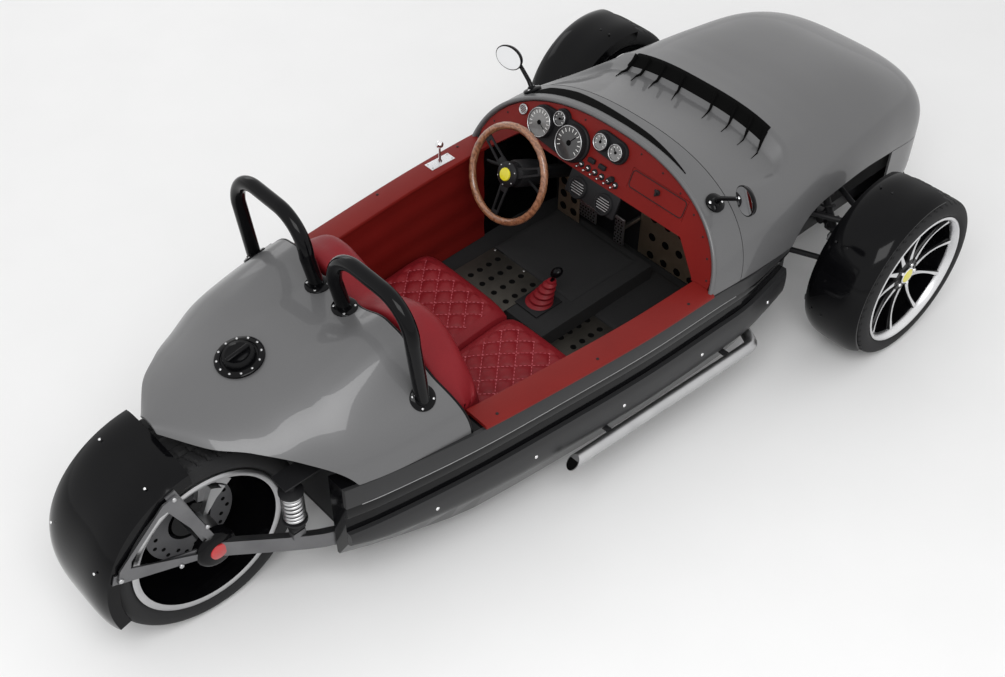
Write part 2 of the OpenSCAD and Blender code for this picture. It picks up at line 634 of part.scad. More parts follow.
// Roll hoops: bent tubes whose feet follow the deck's surface
hoop_set = 34;
hoop_stand_x = deck_front - hoop_set;
hoop_in = 66;
hoop_out = 416;
hoop_bend = 120;
hoop_back = 25;
hoop_sides = 14;
hoop_bend_steps = 7;
foot_gap = 0.6;
hoop_in_gap = 2.2;
hoop_out_gap = 1.2;
module roll_hoops() {
    r = hoop_d / 2;
    arc = function(cy, a0, a1) [for (a = spread(a0, a1, hoop_bend_steps))
        [hoop_stand_x - hoop_back, cy + hoop_bend * sin(a), hoop_h - hoop_bend + hoop_bend * cos(a)]];
    foot = function(y, way, gap) let (plane = deck_plane(hoop_stand_x, y, r))
        [for (k = [0 : hoop_sides - 1]) let (a = 360 * k / hoop_sides, d = [r * sin(a), way * r * cos(a)])
            [hoop_stand_x + d[0], y + d[1], plane[0] + plane[1] * d[0] + plane[2] * d[1] + gap]];
    bend = concat(arc(hoop_in + hoop_bend, -90, 0), arc(hoop_out - hoop_bend, 0, 90));
    rings = [for (i = [0 : len(bend) - 1])
        ring(bend[i], tangent(bend, i), [1, 0, 0], r, hoop_sides)];
    color("black") place() both() skin_rings(
        concat([foot(hoop_in, 1, hoop_in_gap)], rings, [foot(hoop_out, -1, hoop_out_gap)]));
}

filler_x = -0.891 * wheelbase;
filler_t = 10;
cap_d_share = 0.66;
cap_t = 26;
filler_gap = 1.1;
module fuel_filler() {
    plane = deck_plane(filler_x, 0, filler_d / 2);
    color("black") place() translate([filler_x, 0, plane[0] + filler_gap]) rotate([0, -atan(plane[1]), 0]) {
        cylinder(d = filler_d, h = filler_t);
        cylinder(d = filler_d * cap_d_share, h = cap_t);
    }
}

// Mirrors on clamps at the ends of the cowl
mirror_x = -0.277 * wheelbase;
mirror_y = 555;
mirror_drop = 5;
mirror_z = cowl_h - mirror_drop;
mirror_r = 58;
mirror_t = 16;
clamp_u = 7.35;
clamp_share = 0.52;
clamp_r = 34;
clamp_t = 10;
stalk_r = 7;
function front_normal(u, a_share) =
    let (p = front_point(u, a_share, 0), d = 1 / across_steps)
    unit(cross(front_point(u, a_share + d, 0) - p, front_point(u + d, a_share, 0) - p));
module mirrors() {
    n = front_normal(clamp_u, clamp_share);
    foot = front_point(clamp_u, clamp_share, 0) + [-shut_gap, 0, 0] + foot_gap * n;
    glass = [mirror_x - mirror_t / 2, mirror_y, mirror_z];
    color("black") place() both() {
        rod(foot, foot + clamp_t * n, clamp_r);
        rod(foot + clamp_t / 2 * n, [mirror_x, mirror_y, mirror_z], stalk_r);
        translate(glass) rotate([0, 90, 0]) cylinder(r = mirror_r, h = mirror_t);
    }
}

// Levers: a ball on a gaiter on the tunnel, and a small lever on a plate on the left sill
ball_r = 20;
gaiter_r = 46;
gaiter_h = 90;
gaiter_top_share = 0.4;
lever_h = 148;
lever_r = 7;
lever_x = -0.388 * wheelbase;
sill_lever_x = -0.415 * wheelbase;
sill_plate = [110, 44, 5];
sill_lever_h = 70;
sill_ball_r = 12;
module levers() {
    color("black") place() {
        translate([lever_x, 0, floor_top + tunnel_h + seat_gap]) {
            cylinder(r1 = gaiter_r, r2 = gaiter_r * gaiter_top_share, h = gaiter_h);
            cylinder(r = lever_r, h = lever_h);
            translate([0, 0, lever_h]) sphere(r = ball_r);
        }
        translate([sill_lever_x, plan_w(sill_lever_x) - band_t - wall / 2, sill_h + seat_gap]) {
            translate([-sill_plate[0] / 2, -sill_plate[1] / 2, 0]) cube(sill_plate);
            cylinder(r = lever_r, h = sill_lever_h);
            translate([0, 0, sill_lever_h]) sphere(r = sill_ball_r);
        }
    }
}

// Side exhausts, slung under the rockers from the side walls
pipe_front = -0.248 * wheelbase;
pipe_rear = -0.58 * wheelbase;
pipe_z = 240;
pipe_out = 34;
pipe_wall = 3;
hanger_shares = [0.12, 0.78];
hanger_t = 14;
hanger_h = 20;
function wall_y(x, z) = plan_w(x) - band_t
    - (wall - wall_foot_t) * max(0, (rocker_low(x) - z) / (rocker_low(x) - foot_z(x)));
module exhausts() {
    p = [pipe_front, plan_w(pipe_front) + pipe_out, pipe_z];
    q = [pipe_rear, plan_w(pipe_rear) + pipe_out, pipe_z];
    along = unit(q - p);
    color("silver") place() both() difference() {
        union() {
            rod(p, q, exhaust_d / 2);
            for (s = hanger_shares) {
                c = p + s * (q - p);
                xs = [c[0] + hanger_t / 2, c[0] - hanger_t / 2];
                zs = [pipe_z + hanger_h / 2, pipe_z - hanger_h / 2];
                slab([for (x = xs) [for (z = zs) [x, c[1], z]]],
                    [for (x = xs) [for (z = zs) [x, wall_y(x, z) + foot_gap, z]]]);
            }
        }
        rod(p + exhaust_d * along, q + exhaust_d * along, exhaust_d / 2 - pipe_wall);
    }
}

// Engine block and the frame that carries it and the front suspension
rail_y = 290;
rail_w = 50;
rail_h = 60;
rail_z = 200;
rail_front = grille_x - seat_gap;
upper_rail_z = 400;
tower_w = 60;
tower_top = 590;
engine_size = [440, 520, 380];
engine_x = -160;
beam_w = 60;
beam_in = 50;
arm_spread = 130;
tow_l = 40;
tow_drop = 40;
tow_r = 10;
tow_t = 12;
tow_back = 40;
module engine() {
    color("dimgray") place() translate([engine_x, -engine_size[1] / 2, rail_z + rail_h + seat_gap])
        cube(engine_size);
}
module front_frame() {
    rear = side_front + seat_gap;
    tow_x = rail_front - tow_back;
    color("black") place() {
        both() {
            translate([rear, rail_y, rail_z]) cube([rail_front - rear, rail_w, rail_h]);
            translate([rear, rail_y, upper_rail_z]) cube([arm_spread + tower_w / 2 - rear, rail_w, rail_h]);
            translate([rear, rail_y, floor_h]) cube([tower_w, rail_w, upper_rail_z + rail_h - floor_h]);
            translate([arm_spread - tower_w / 2, rail_y, rail_z])
                cube([tower_w, rail_w, upper_rail_z + rail_h - rail_z]);
            translate([-tower_w / 2, rail_y, rail_z]) cube([tower_w, rail_w, tower_top - rail_z]);
        }
        for (x = [engine_x + beam_in, engine_x + engine_size[0] - beam_in, rail_front - beam_w / 2])
            translate([x - beam_w / 2, -rail_y - rail_w / 2, rail_z])
                cube([beam_w, 2 * rail_y + rail_w, rail_h]);
        difference() {
            hull() {
                translate([tow_x, -tow_t / 2, rail_z - tow_drop]) rotate([-90, 0, 0])
                    cylinder(d = tow_l, h = tow_t);
                translate([tow_x - tow_l / 2, -tow_t / 2, rail_z]) cube([tow_l, tow_t, rail_h / 2]);
            }
            translate([tow_x, -tow_t, rail_z - tow_drop]) rotate([-90, 0, 0])
                cylinder(r = tow_r, h = 2 * tow_t);
        }
    }
}

// A coil-over from p up to q, both at the same X, with a bush along X at each end
bush_r = 16;
bush_l = 44;
damper_r = 15;
spring_r = 28;
wire_r = 4.5;
coils = 6;
coil_steps = 10;
wire_sides = 6;
cup_t = 6;
cup_set = 40;
function coil_path(l) = [for (k = [0 : coils * coil_steps])
    let (a = 360 * k / coil_steps) [spring_r * cos(a), spring_r * sin(a), l * k / (coils * coil_steps)]];
module coil_over(p, q) {
    d = q - p;
    l = norm(d);
    spring_set = cup_set + cup_t + wire_r * cos(180 / wire_sides) + seat_gap;
    translate(p) rotate([-atan2(d[1], d[2]), 0, 0]) {
        cylinder(r = damper_r, h = l);
        for (z = [0, l]) translate([-bush_l / 2, 0, z]) rotate([0, 90, 0]) cylinder(r = bush_r, h = bush_l);
        for (z = [cup_set, l - cup_set - cup_t]) translate([0, 0, z])
            cylinder(r = spring_r + 2 * wire_r, h = cup_t);
        translate([0, 0, spring_set]) tube(coil_path(l - 2 * spring_set), wire_r, [0, 0, 1], wire_sides);
    }
}

// Front suspension: two wishbones and a coil-over on each side, with eyes round the kingpin
wheel_y = track / 2;
kingpin_in = 100;
kingpin_y = wheel_y - kingpin_in;
kingpin_r = 12;
eye_r = 26;
eye_h = 30;
lower_eye_down = 85;
upper_eye_up = 110;
lower_eye_z = front_tyre_r - lower_eye_down;
upper_eye_z = front_tyre_r + upper_eye_up;
arm_r = 11;
damper_share = 0.38;
bush_y = rail_y + rail_w + bush_r + seat_gap;
module wishbone(z) {
    difference() {
        union() {
            for (s = [-1, 1]) {
                rod([s * arm_spread, bush_y, z], [0, kingpin_y, z], arm_r);
                translate([s * arm_spread - bush_l / 2, bush_y, z]) rotate([0, 90, 0])
                    cylinder(r = bush_r, h = bush_l);
            }
            translate([0, kingpin_y, z - eye_h / 2]) cylinder(r = eye_r, h = eye_h);
            children();
        }
        translate([0, kingpin_y, z - eye_h]) cylinder(r = kingpin_r + seat_gap, h = 2 * eye_h);
    }
}
module suspension() {
    foot = [0, kingpin_y - damper_share * (kingpin_y - bush_y), lower_eye_z];
    cross_l = 2 * damper_share * arm_spread;
    color("black") place() both() {
        wishbone(lower_eye_z) {
            translate(foot - [cross_l / 2, 0, 0]) rotate([0, 90, 0]) cylinder(r = arm_r, h = cross_l);
            coil_over(foot, [0, bush_y, tower_top - bush_r]);
        }
        wishbone(upper_eye_z);
    }
}

// Knuckles: kingpin, upright, spindle, caliper and the stays of the mudguard
upright_r = 24;
spindle_r = 22;
spindle_l = 80;
guard_in_gap = 9;
guard_lap = 12;
guard_in = front_tyre_w / 2 + guard_in_gap;
guard_out = front_tyre_w / 2 - guard_lap;
guard_skirt = 60;
stay_t = 10;
stay_h = 26;
root_half = 15;
stay_root = 30;
stay_boss_r = 36;
stay_angles = [142, 190];
guard_from = 78;
guard_to = 214;
module knuckle() {
    lo = lower_eye_z - eye_h;
    hi = upper_eye_z + eye_h;
    body_lo = lower_eye_z + eye_h / 2 + seat_gap;
    body_hi = upper_eye_z - eye_h / 2 - seat_gap;
    translate([0, kingpin_y, lo]) cylinder(r = kingpin_r, h = hi - lo);
    translate([0, kingpin_y, body_lo]) cylinder(r = upright_r, h = body_hi - body_lo);
    translate([0, kingpin_y, front_tyre_r]) rotate([-90, 0, 0]) cylinder(r = spindle_r, h = spindle_l);
    stay_y = wheel_y - guard_in - guard_t - stay_t - seat_gap;
    for (a = stay_angles) translate([0, stay_y, front_tyre_r]) rotate([0, -a, 0])
        translate([stay_root, 0, -stay_h / 2])
            cube([front_guard_r - guard_skirt / 2 - stay_root, stay_t, stay_h]);
    translate([0, stay_y - overrun, front_tyre_r]) rotate([-90, 0, 0])
        cylinder(r = stay_boss_r, h = stay_t + 2 * overrun);
    translate([-root_half, stay_y + stay_t / 2, front_tyre_r - root_half])
        cube([2 * root_half, kingpin_y - stay_y, 2 * root_half]);
}
module knuckle_left() {
    color("dimgray") place() knuckle();
}
module knuckle_right() {
    color("dimgray") place() mirror([0, 1, 0]) knuckle();
}

// A revolved solid about the wheel's axle, from a profile of [radius, across] with across to the left
module about_axle(x, y, z) {
    translate([x, y, z]) rotate([-90, 0, 0]) children();
}
guard_fall = 20;
guard_crown_steps = 6;
module guard_profile(r, y0, y1, skirt) {
    outer = [for (s = spread(-1, 1, guard_crown_steps))
        [r - guard_fall * pow(s, 4), (y0 + y1) / 2 + s * (y1 - y0) / 2]];
    inner = [for (p = reversed(outer)) [p[0] - guard_t, p[1]]];
    polygon(concat(outer, inner));
    translate([r - skirt, y0]) square([skirt - guard_fall, guard_t]);
}
module front_fender() {
    about_axle(0, wheel_y, front_tyre_r) rotate([0, 0, -guard_to])
        rotate_extrude(angle = guard_to - guard_from)
            guard_profile(front_guard_r, -guard_in - guard_t, guard_out, guard_skirt);
}
module front_fender_left() {
    color("black") place() front_fender();
}
module front_fender_right() {
    color("black") place() mirror([0, 1, 0]) front_fender();
}

// Rims and tyres. Profiles are [radius, across], with across to the outside of the car
barrel_t = 9;
barrel_drop = 12;
barrel_r = rim_r - barrel_drop;
flange_t = 8;
flange_in = 4;
hub_face = 34;
disc_r = 150;
disc_t = 22;
rim_hub_r = 66;
lug_face = 26;
spoke_half = 17;
spoke_root = 12;
spoke_set = 4;
face_set = 40;
module rim_barrel(w) {
    f = w / 2 - flange_in;
    polygon([[barrel_r - barrel_t, -f], [rim_r, -f], [rim_r, flange_t - f], [barrel_r, flange_t - f],
        [barrel_r, f - flange_t], [rim_r, f - flange_t], [rim_r, f], [barrel_r - barrel_t, f]]);
}
module front_rim() {
    spin_gap = spindle_r + seat_gap;
    inner = -wheel_y + kingpin_y + upright_r + hub_face;
    end = -wheel_y + kingpin_y + spindle_l;
    face = front_tyre_w / 2 - face_set;
    reach = barrel_r - barrel_t + overrun - rim_hub_r + spoke_root;
    about_axle(0, wheel_y, front_tyre_r) {
        rotate_extrude() {
            rim_barrel(front_tyre_w);
            polygon([[spin_gap, inner], [disc_r, inner], [disc_r, inner + disc_t],
                [rim_hub_r, inner + disc_t], [rim_hub_r, face], [0, face], [0, end + seat_gap],
                [spin_gap, end + seat_gap]]);
        }
        for (k = [0 : spokes - 1]) rotate([0, 0, 360 * k / spokes])
            translate([rim_hub_r - spoke_root, 0, face - lug_face - spoke_set]) linear_extrude(lug_face)
                polygon([[0, -spoke_half], [reach, -spoke_half / 3], [reach, spoke_half / 3],
                    [0, spoke_half]]);
    }
}
module front_rim_left() {
    color("silver") place() front_rim();
}
module front_rim_right() {
    color("silver") place() mirror([0, 1, 0]) front_rim();
}
// Tyre outline from the bead to the crown. Columns: radius (share from flange to crown), half width (share)
tyre_shares = [[0.02, 0.93], [0.2, 0.985], [0.45, 1], [0.72, 0.96], [0.9, 0.87], [0.98, 0.72], [1, 0.4]];
module tyre_profile(r, w) {
    bead = w / 2 - flange_in - flange_t - seat_gap;
    side = [for (t = tyre_shares) [rim_r + seat_gap + t[0] * (r - rim_r - seat_gap), t[1] * w / 2]];
    half = concat([[barrel_r + seat_gap, bead], [rim_r + seat_gap, bead]], side);
    polygon(concat(half, [for (p = reversed(half)) [p[0], -p[1]]]));
}
module front_tyre() {
    about_axle(0, wheel_y, front_tyre_r) rotate_extrude() tyre_profile(front_tyre_r, front_tyre_w);
}
module front_tyre_left() {
    color("black") place() front_tyre();
}
module front_tyre_right() {
    color("black") place() mirror([0, 1, 0]) front_tyre();
}

// Rear wheel: open to the right, its disc on the left, turning on the swing arm's spindle
rear_disc_share = 0.6;
axle_r = 26;
axle_end = 60;
rear_disc_in = 30;
module rear_rim() {
    face = rear_tyre_w / 2 * rear_disc_share;
    inner = -rear_disc_in;
    color("black") place() about_axle(rear_x, 0, rear_tyre_r) rotate_extrude() {
        rim_barrel(rear_tyre_w);
        polygon([[axle_r + seat_gap, inner], [disc_r, inner], [disc_r, inner + disc_t],
            [rim_hub_r, inner + disc_t],
            [rim_hub_r, face - lug_face], [barrel_r - barrel_t + overrun, face - lug_face],
            [barrel_r - barrel_t + overrun, face], [0, face], [0, axle_end + seat_gap],
            [axle_r + seat_gap, axle_end + seat_gap]]);
    }
}
module rear_tyre() {
    color("black") place() about_axle(rear_x, 0, rear_tyre_r) rotate_extrude()
        tyre_profile(rear_tyre_r, rear_tyre_w);
}

// Swing arm: a tapered beam from the shield to the hub. Columns: along (share from pivot to axle), across
// (share from the tyre's side to the pivot), height (share from the axle to the pivot)
arm_gap = 12;
arm_y = rear_tyre_w / 2 + arm_gap;
arm_t = 26;
arm_h = 64;
pivot_y = 336;
pivot_z = 262;
arm_shares = [[0, 1, 1], [0.25, 0.82, 0.8], [0.5, 0.58, 0.5], [0.75, 0.3, 0.22], [1, 0, 0]];
boss_r = 50;
boss_out = 2;
stay_w = 34;
rear_stay_angles = [106, 158];
rear_guard_side = 22;
rear_guard_half = rear_tyre_w / 2 + rear_guard_side;
arm_x = floor_rear - seat_gap;
function arm_point(u, dy, dz) = [arm_x + smooth(arm_shares, 0, u) * (rear_x - arm_x),
    -arm_y - smooth(arm_shares, 1, u) * (pivot_y - arm_y) - dy,
    rear_tyre_r + smooth(arm_shares, 2, u) * (pivot_z - rear_tyre_r) + dz];
arm_us = spread(0, len(arm_shares) - 1, 2 * (len(arm_shares) - 1));

// The coil-over stands on a pad on the arm, under the shield's shelf
shock_u = 1.68;
shock_foot = arm_point(shock_u, arm_t / 2, arm_h / 2);
shock_y = shock_foot[1];
pad_h = 24;
shock_top = 580;
shelf_l = 190;
shelf_w = 70;
module swing_arm() {
    color("gray") place() {
        slab([for (u = arm_us) [arm_point(u, arm_t, -arm_h / 2), arm_point(u, arm_t, arm_h / 2)]],
            [for (u = arm_us) [arm_point(u, 0, -arm_h / 2), arm_point(u, 0, arm_h / 2)]]);
        translate(shock_foot - [bush_l / 2, arm_t / 2, overrun]) cube([bush_l, arm_t, pad_h + overrun]);
        translate([rear_x, -arm_y - arm_t - boss_out, rear_tyre_r]) rotate([-90, 0, 0]) {
            cylinder(r = boss_r, h = arm_t + 2 * boss_out);
            cylinder(r = axle_r, h = arm_y + arm_t + axle_end);
        }
        for (a = rear_stay_angles)
            translate([rear_x, -rear_guard_half - guard_t - seat_gap, rear_tyre_r]) rotate([0, -a, 0])
                translate([0, 0, -stay_w / 2]) cube([rear_guard_r - guard_skirt / 2, guard_t, stay_w]);
    }
}
module rear_shock() {
    foot = shock_foot + [0, 0, pad_h + bush_r + seat_gap];
    color("silver") place() coil_over(foot, [foot[0], foot[1], shock_top - bush_r - seat_gap]);
}

// Rear mudguard
rear_guard_from = 94;
rear_guard_to = 196;
module rear_fender() {
    color("black") place() about_axle(rear_x, 0, rear_tyre_r) rotate([0, 0, -rear_guard_to])
        rotate_extrude(angle = rear_guard_to - rear_guard_from)
            guard_profile(rear_guard_r, -rear_guard_half, rear_guard_half, guard_skirt);
}

floor_pan();
side_walls();
firewall();
rear_bulkhead();
bonnet();
bonnet_vent();
nose_panel();
grille();
headlamps();
splitter();
cowl();
dash();
glovebox_lid();
instruments();
steering_column();
steering_wheel();
pedals();
seat_cushions();
seat_back();
sill_trims();
side_bands();
rockers();
exhausts();
deck();
rear_shield();
roll_hoops();
fuel_filler();
mirrors();
levers();
engine();
front_frame();
suspension();
swing_arm();
rear_shock();
rear_fender();
knuckle_left();
knuckle_right();
front_fender_left();
front_fender_right();
front_rim_left();
front_rim_right();
front_tyre_left();
front_tyre_right();
rear_rim();
rear_tyre();
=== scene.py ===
# %% [markdown]
# An open three-wheeled car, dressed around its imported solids. Each cell
# makes a few pieces or finishes that belong together. The solids are the
# frame: each piece is drawn where its solid is, so nothing needs fitting.

import math

import bmesh
import bpy
import numpy as np
from mathutils import Matrix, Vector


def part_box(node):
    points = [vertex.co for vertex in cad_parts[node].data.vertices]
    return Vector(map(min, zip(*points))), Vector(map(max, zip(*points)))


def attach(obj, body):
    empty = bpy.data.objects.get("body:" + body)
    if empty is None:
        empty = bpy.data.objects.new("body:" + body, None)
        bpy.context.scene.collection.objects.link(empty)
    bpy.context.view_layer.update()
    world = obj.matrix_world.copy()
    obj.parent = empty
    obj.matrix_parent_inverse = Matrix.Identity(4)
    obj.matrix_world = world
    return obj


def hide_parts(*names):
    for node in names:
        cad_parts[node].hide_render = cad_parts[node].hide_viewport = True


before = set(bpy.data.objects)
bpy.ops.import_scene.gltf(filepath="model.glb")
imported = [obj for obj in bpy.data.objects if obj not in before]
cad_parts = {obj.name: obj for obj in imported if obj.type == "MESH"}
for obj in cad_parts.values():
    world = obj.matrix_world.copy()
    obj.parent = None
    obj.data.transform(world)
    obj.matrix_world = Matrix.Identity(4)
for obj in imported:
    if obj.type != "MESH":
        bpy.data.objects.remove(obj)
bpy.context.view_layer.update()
low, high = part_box("front_tyre_left")
AXLE_X = (low.x + high.x) / 2
MM = 1000.0


def in_mm(point):
    """A place in the scene, as millimetres from the front axle line on the ground."""
    return (np.array(point[:]) - (AXLE_X, 0, 0)) * MM


print("front axle line at", round(AXLE_X, 4), "nodes", len(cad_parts))

# %% [markdown]
# The camera stands where the photograph was taken from: behind the right
# rear corner and well above. Its place came from matching wheel centres
# and edges, so the script only has to write down angles, lens and place.

# %% Camera
AZIMUTH, ELEVATION, ROLL = (math.radians(a) for a in (-42.88, 44.61, 0.67))
LENS, SENSOR = 47.26, 36.0
CAMERA_AT = (-3.511 + AXLE_X, -2.447, 3.505)


def camera_axes(azimuth, elevation, roll):
    """The camera's right, up and back directions."""
    level = math.cos(elevation)
    back = np.array((math.sin(azimuth) * level, -math.cos(azimuth) * level, math.sin(elevation)))
    right = np.array((math.cos(azimuth), math.sin(azimuth), 0.0))
    up = np.cross(back, right)
    c, s = math.cos(roll), math.sin(roll)
    return right * c + up * s, up * c - right * s, back


def stand(made, axes, place):
    """Puts an object at a place, with its X, Y and Z along three directions."""
    made.matrix_world = Matrix.Translation(place) @ Matrix(np.array(axes).T.tolist()).to_4x4()
    bpy.context.scene.collection.objects.link(made)


camera = bpy.data.objects.new("camera", bpy.data.cameras.new("camera"))
camera.data.lens = LENS
camera.data.sensor_width = SENSOR
stand(camera, camera_axes(AZIMUTH, ELEVATION, ROLL), CAMERA_AT)
bpy.context.scene.camera = camera
bpy.context.scene.view_settings.view_transform = "Standard"
print("camera at", [round(v, 3) for v in CAMERA_AT])

# %% [markdown]
# Node sums are easier to read as Python sums. One small class wraps a socket,
# so that 1 - mask adds its own Math node, and one method makes every other
# kind of node: type, settings, then the values or links of its sockets.


# %% Sockets as numbers
class Wire:
    """A socket of a material's tree that Python sums can use."""

    def __init__(self, socket):
        self.socket = socket
        self.tree = socket.id_data

    def node(self, kind, settings, inputs, out=0):
        made = self.tree.nodes.new(kind)
        for key, value in settings.items():
            setattr(made, key, value)
        for key, value in inputs.items():
            if isinstance(value, Wire):
                self.tree.links.new(value.socket, made.inputs[key])
            else:
                made.inputs[key].default_value = value
        return Wire(made.outputs[out])

    def maths(self, operation, a, b):
        return self.node("ShaderNodeMath", {"operation": operation}, {0: a, 1: b})

    def __add__(self, other):
        return self.maths("ADD", self, other)

    def __sub__(self, other):
        return self.maths("SUBTRACT", self, other)

    def __rsub__(self, other):
        return self.maths("SUBTRACT", other, self)

    def __mul__(self, other):
        return self.maths("MULTIPLY", self, other)

    __radd__ = __add__
    __rmul__ = __mul__

    def noise(self, scale, detail=3.0):
        return self.node("ShaderNodeTexNoise", {}, {"Vector": self, "Scale": scale, "Detail": detail})

    def stretched(self, factors):
        return self.node("ShaderNodeMapping", {}, {"Vector": self, "Scale": factors})

    def mixed(self, dark, pale):
        """A colour between two, by this value."""
        ends = {0: self, 6: (*dark, 1), 7: (*pale, 1)}
        return self.node("ShaderNodeMix", {"data_type": "RGBA"}, ends, out=2)

    def bump(self, strength, distance):
        return self.node("ShaderNodeBump", {}, {"Strength": strength, "Distance": distance, "Height": self})


def finish(name, constants):
    """A new material, its shader and the place on the piece in metres."""
    material = bpy.data.materials.new(name)
    material.use_nodes = True
    shader = material.node_tree.nodes["Principled BSDF"]
    for key, value in constants.items():
        shader.inputs[key].default_value = value
    place = Wire(material.node_tree.nodes.new("ShaderNodeTexCoord").outputs["Object"])
    return material, shader, place


def feed(shader, **sockets):
    for key, wire in sockets.items():
        wire.tree.links.new(wire.socket, shader.inputs[key.replace("_", " ")])


print("node helper ready")

# %% [markdown]
# Body paint is a solid grey under clear lacquer. The lacquer is the coat of
# the shader. Very fine flakes vary the grey, and a faint long-wave bump
# stands for the sprayed surface, so that reflections aren't ruler straight.

# %% Painted finishes
body_grey, shader, at = finish("body_grey", {"Metallic": 0.2, "Specular IOR Level": 0.2, "Coat Weight": 0.4,
                                             "Coat Roughness": 0.03})
flake = at.noise(1400, 1.0)
feed(shader, Base_Color=flake.mixed((0.098, 0.098, 0.1), (0.138, 0.138, 0.141)),
     Roughness=0.36 + 0.1 * at.noise(6), Normal=at.noise(160, 2.0).bump(0.02, 0.001))

gloss_black, shader, at = finish("gloss_black", {"Specular IOR Level": 0.1, "Coat Weight": 0.06,
                                                 "Coat Roughness": 0.02})
dust = at.noise(9, 5.0)
feed(shader, Base_Color=dust.mixed((0.0015, 0.0015, 0.002), (0.004, 0.004, 0.0045)),
     Roughness=0.06 + 0.1 * dust, Normal=at.noise(130, 2.0).bump(0.015, 0.001))

frame_black, shader, at = finish("frame_black", {"Specular IOR Level": 0.25})
grit = at.noise(420, 4.0)
feed(shader, Base_Color=grit.mixed((0.008, 0.008, 0.009), (0.022, 0.022, 0.024)),
     Roughness=0.38 + 0.22 * grit, Normal=grit.bump(0.12, 0.0006))

band_grey, shader, at = finish("band_grey", {"Specular IOR Level": 0.22, "Coat Weight": 0.1,
                                             "Coat Roughness": 0.12})
weave = at.noise(700, 2.0)
feed(shader, Base_Color=weave.mixed((0.016, 0.016, 0.017), (0.028, 0.028, 0.029)),
     Roughness=0.34 + 0.12 * at.noise(14), Normal=weave.bump(0.04, 0.0006))
print("painted finishes:", body_grey.name, gloss_black.name, frame_black.name, band_grey.name)

# %% [markdown]
# Leather has a pebbled grain: cells a millimetre or two across with rounded tops. A Voronoi distance gives
# the cells, a noise makes them uneven, and the colour is a little darker in the valleys, as painted shade.
# The trim panels use a finer grain and a flatter red.


# %% Leather and trim
def hide(name, valley, crest, cell, depth, rough):
    material, shader, at = finish(name, {"Specular IOR Level": 0.18})
    grain = at.node("ShaderNodeTexVoronoi", {"feature": "F1"}, {"Vector": at, "Scale": cell})
    # The darker colour in the grain's valleys is painted shade; the noise is the hide's own uneven tone.
    tone = 0.55 * at.noise(7, 4.0) + 0.45 * (1 - grain)
    height = (1 - grain) + 0.4 * at.noise(cell * 0.6, 3.0)
    feed(shader, Base_Color=tone.mixed(valley, crest), Roughness=rough + 0.16 * grain,
         Normal=height.bump(depth, 0.0007))
    return material


red_leather = hide("red_leather", (0.115, 0.006, 0.009), (0.27, 0.016, 0.022), 560, 0.28, 0.36)
red_panel = hide("red_panel", (0.12, 0.006, 0.005), (0.21, 0.013, 0.01), 900, 0.1, 0.34)
# The thread is lighter than the leather: its own colour, with a painted highlight along the seams.
thread, shader, at = finish("thread", {})
feed(shader, Base_Color=at.noise(900, 2.0).mixed((0.42, 0.07, 0.09), (0.58, 0.14, 0.17)),
     Roughness=0.6 + 0.1 * at.noise(300))
print("leather finishes:", red_leather.name, red_panel.name, thread.name)

# %% [markdown]
# Rubber, plastic and carpet are all nearly black, and only their surface tells them apart. Rubber is dull
# with a fine grit, moulded plastic has a broad sheen, and carpet is a tangle of fibres.


# %% Dark finishes
def dark(name, deep, pale, scale, depth, rough, spread, shine=0.2):
    material, shader, at = finish(name, {"Specular IOR Level": shine})
    grit = at.noise(scale, 4.0)
    feed(shader, Base_Color=grit.mixed(deep, pale), Roughness=rough + spread * grit,
         Normal=grit.bump(depth, 0.001))
    return material


rubber = dark("rubber", (0.008, 0.008, 0.0085), (0.028, 0.028, 0.029), 520, 0.14, 0.58, 0.2)
matt_black = dark("matt_black", (0.006, 0.006, 0.007), (0.016, 0.016, 0.017), 900, 0.1, 0.42, 0.16)
carpet = dark("carpet", (0.007, 0.007, 0.007), (0.036, 0.036, 0.037), 1500, 0.7, 0.86, 0.1)
# Near-black for holes, bores, the screen gap and the outlet is painted shade; the gauge hands use it as their
# own black.
shade_and_plain_black = dark("shade_and_plain_black", (0.001, 0.001, 0.001), (0.004, 0.004, 0.004), 300, 0.05, 0.8, 0.1, 0.05)
print("dark finishes:", rubber.name, matt_black.name, carpet.name, shade_and_plain_black.name)

# %% [markdown]
# Metals differ in how they were worked. A turned face has fine rings, a casting
# is pitted, chrome is nearly a mirror, and the old bronze plates are dull and
# stained. One function serves them all, with stretched noise for the tool marks.


# %% Metals
def metal(name, dim, bright, rough, spread, marks, depth):
    material, shader, at = finish(name, {"Metallic": 1.0})
    stain = at.noise(11, 5.0)
    tool = at.stretched(marks).noise(60, 3.0)
    feed(shader, Base_Color=stain.mixed(dim, bright), Roughness=rough + spread * tool,
         Normal=tool.bump(depth, 0.0004))
    return material


machined = metal("machined", (0.62, 0.62, 0.63), (0.8, 0.8, 0.81), 0.2, 0.16, (12, 1, 12), 0.08)
steel = metal("steel", (0.4, 0.4, 0.41), (0.58, 0.58, 0.58), 0.26, 0.2, (1, 9, 9), 0.08)
chrome = metal("chrome", (0.72, 0.72, 0.73), (0.88, 0.88, 0.88), 0.05, 0.08, (1, 1, 1), 0.01)
cast = metal("cast", (0.09, 0.09, 0.095), (0.17, 0.17, 0.175), 0.42, 0.2, (4, 4, 4), 0.25)
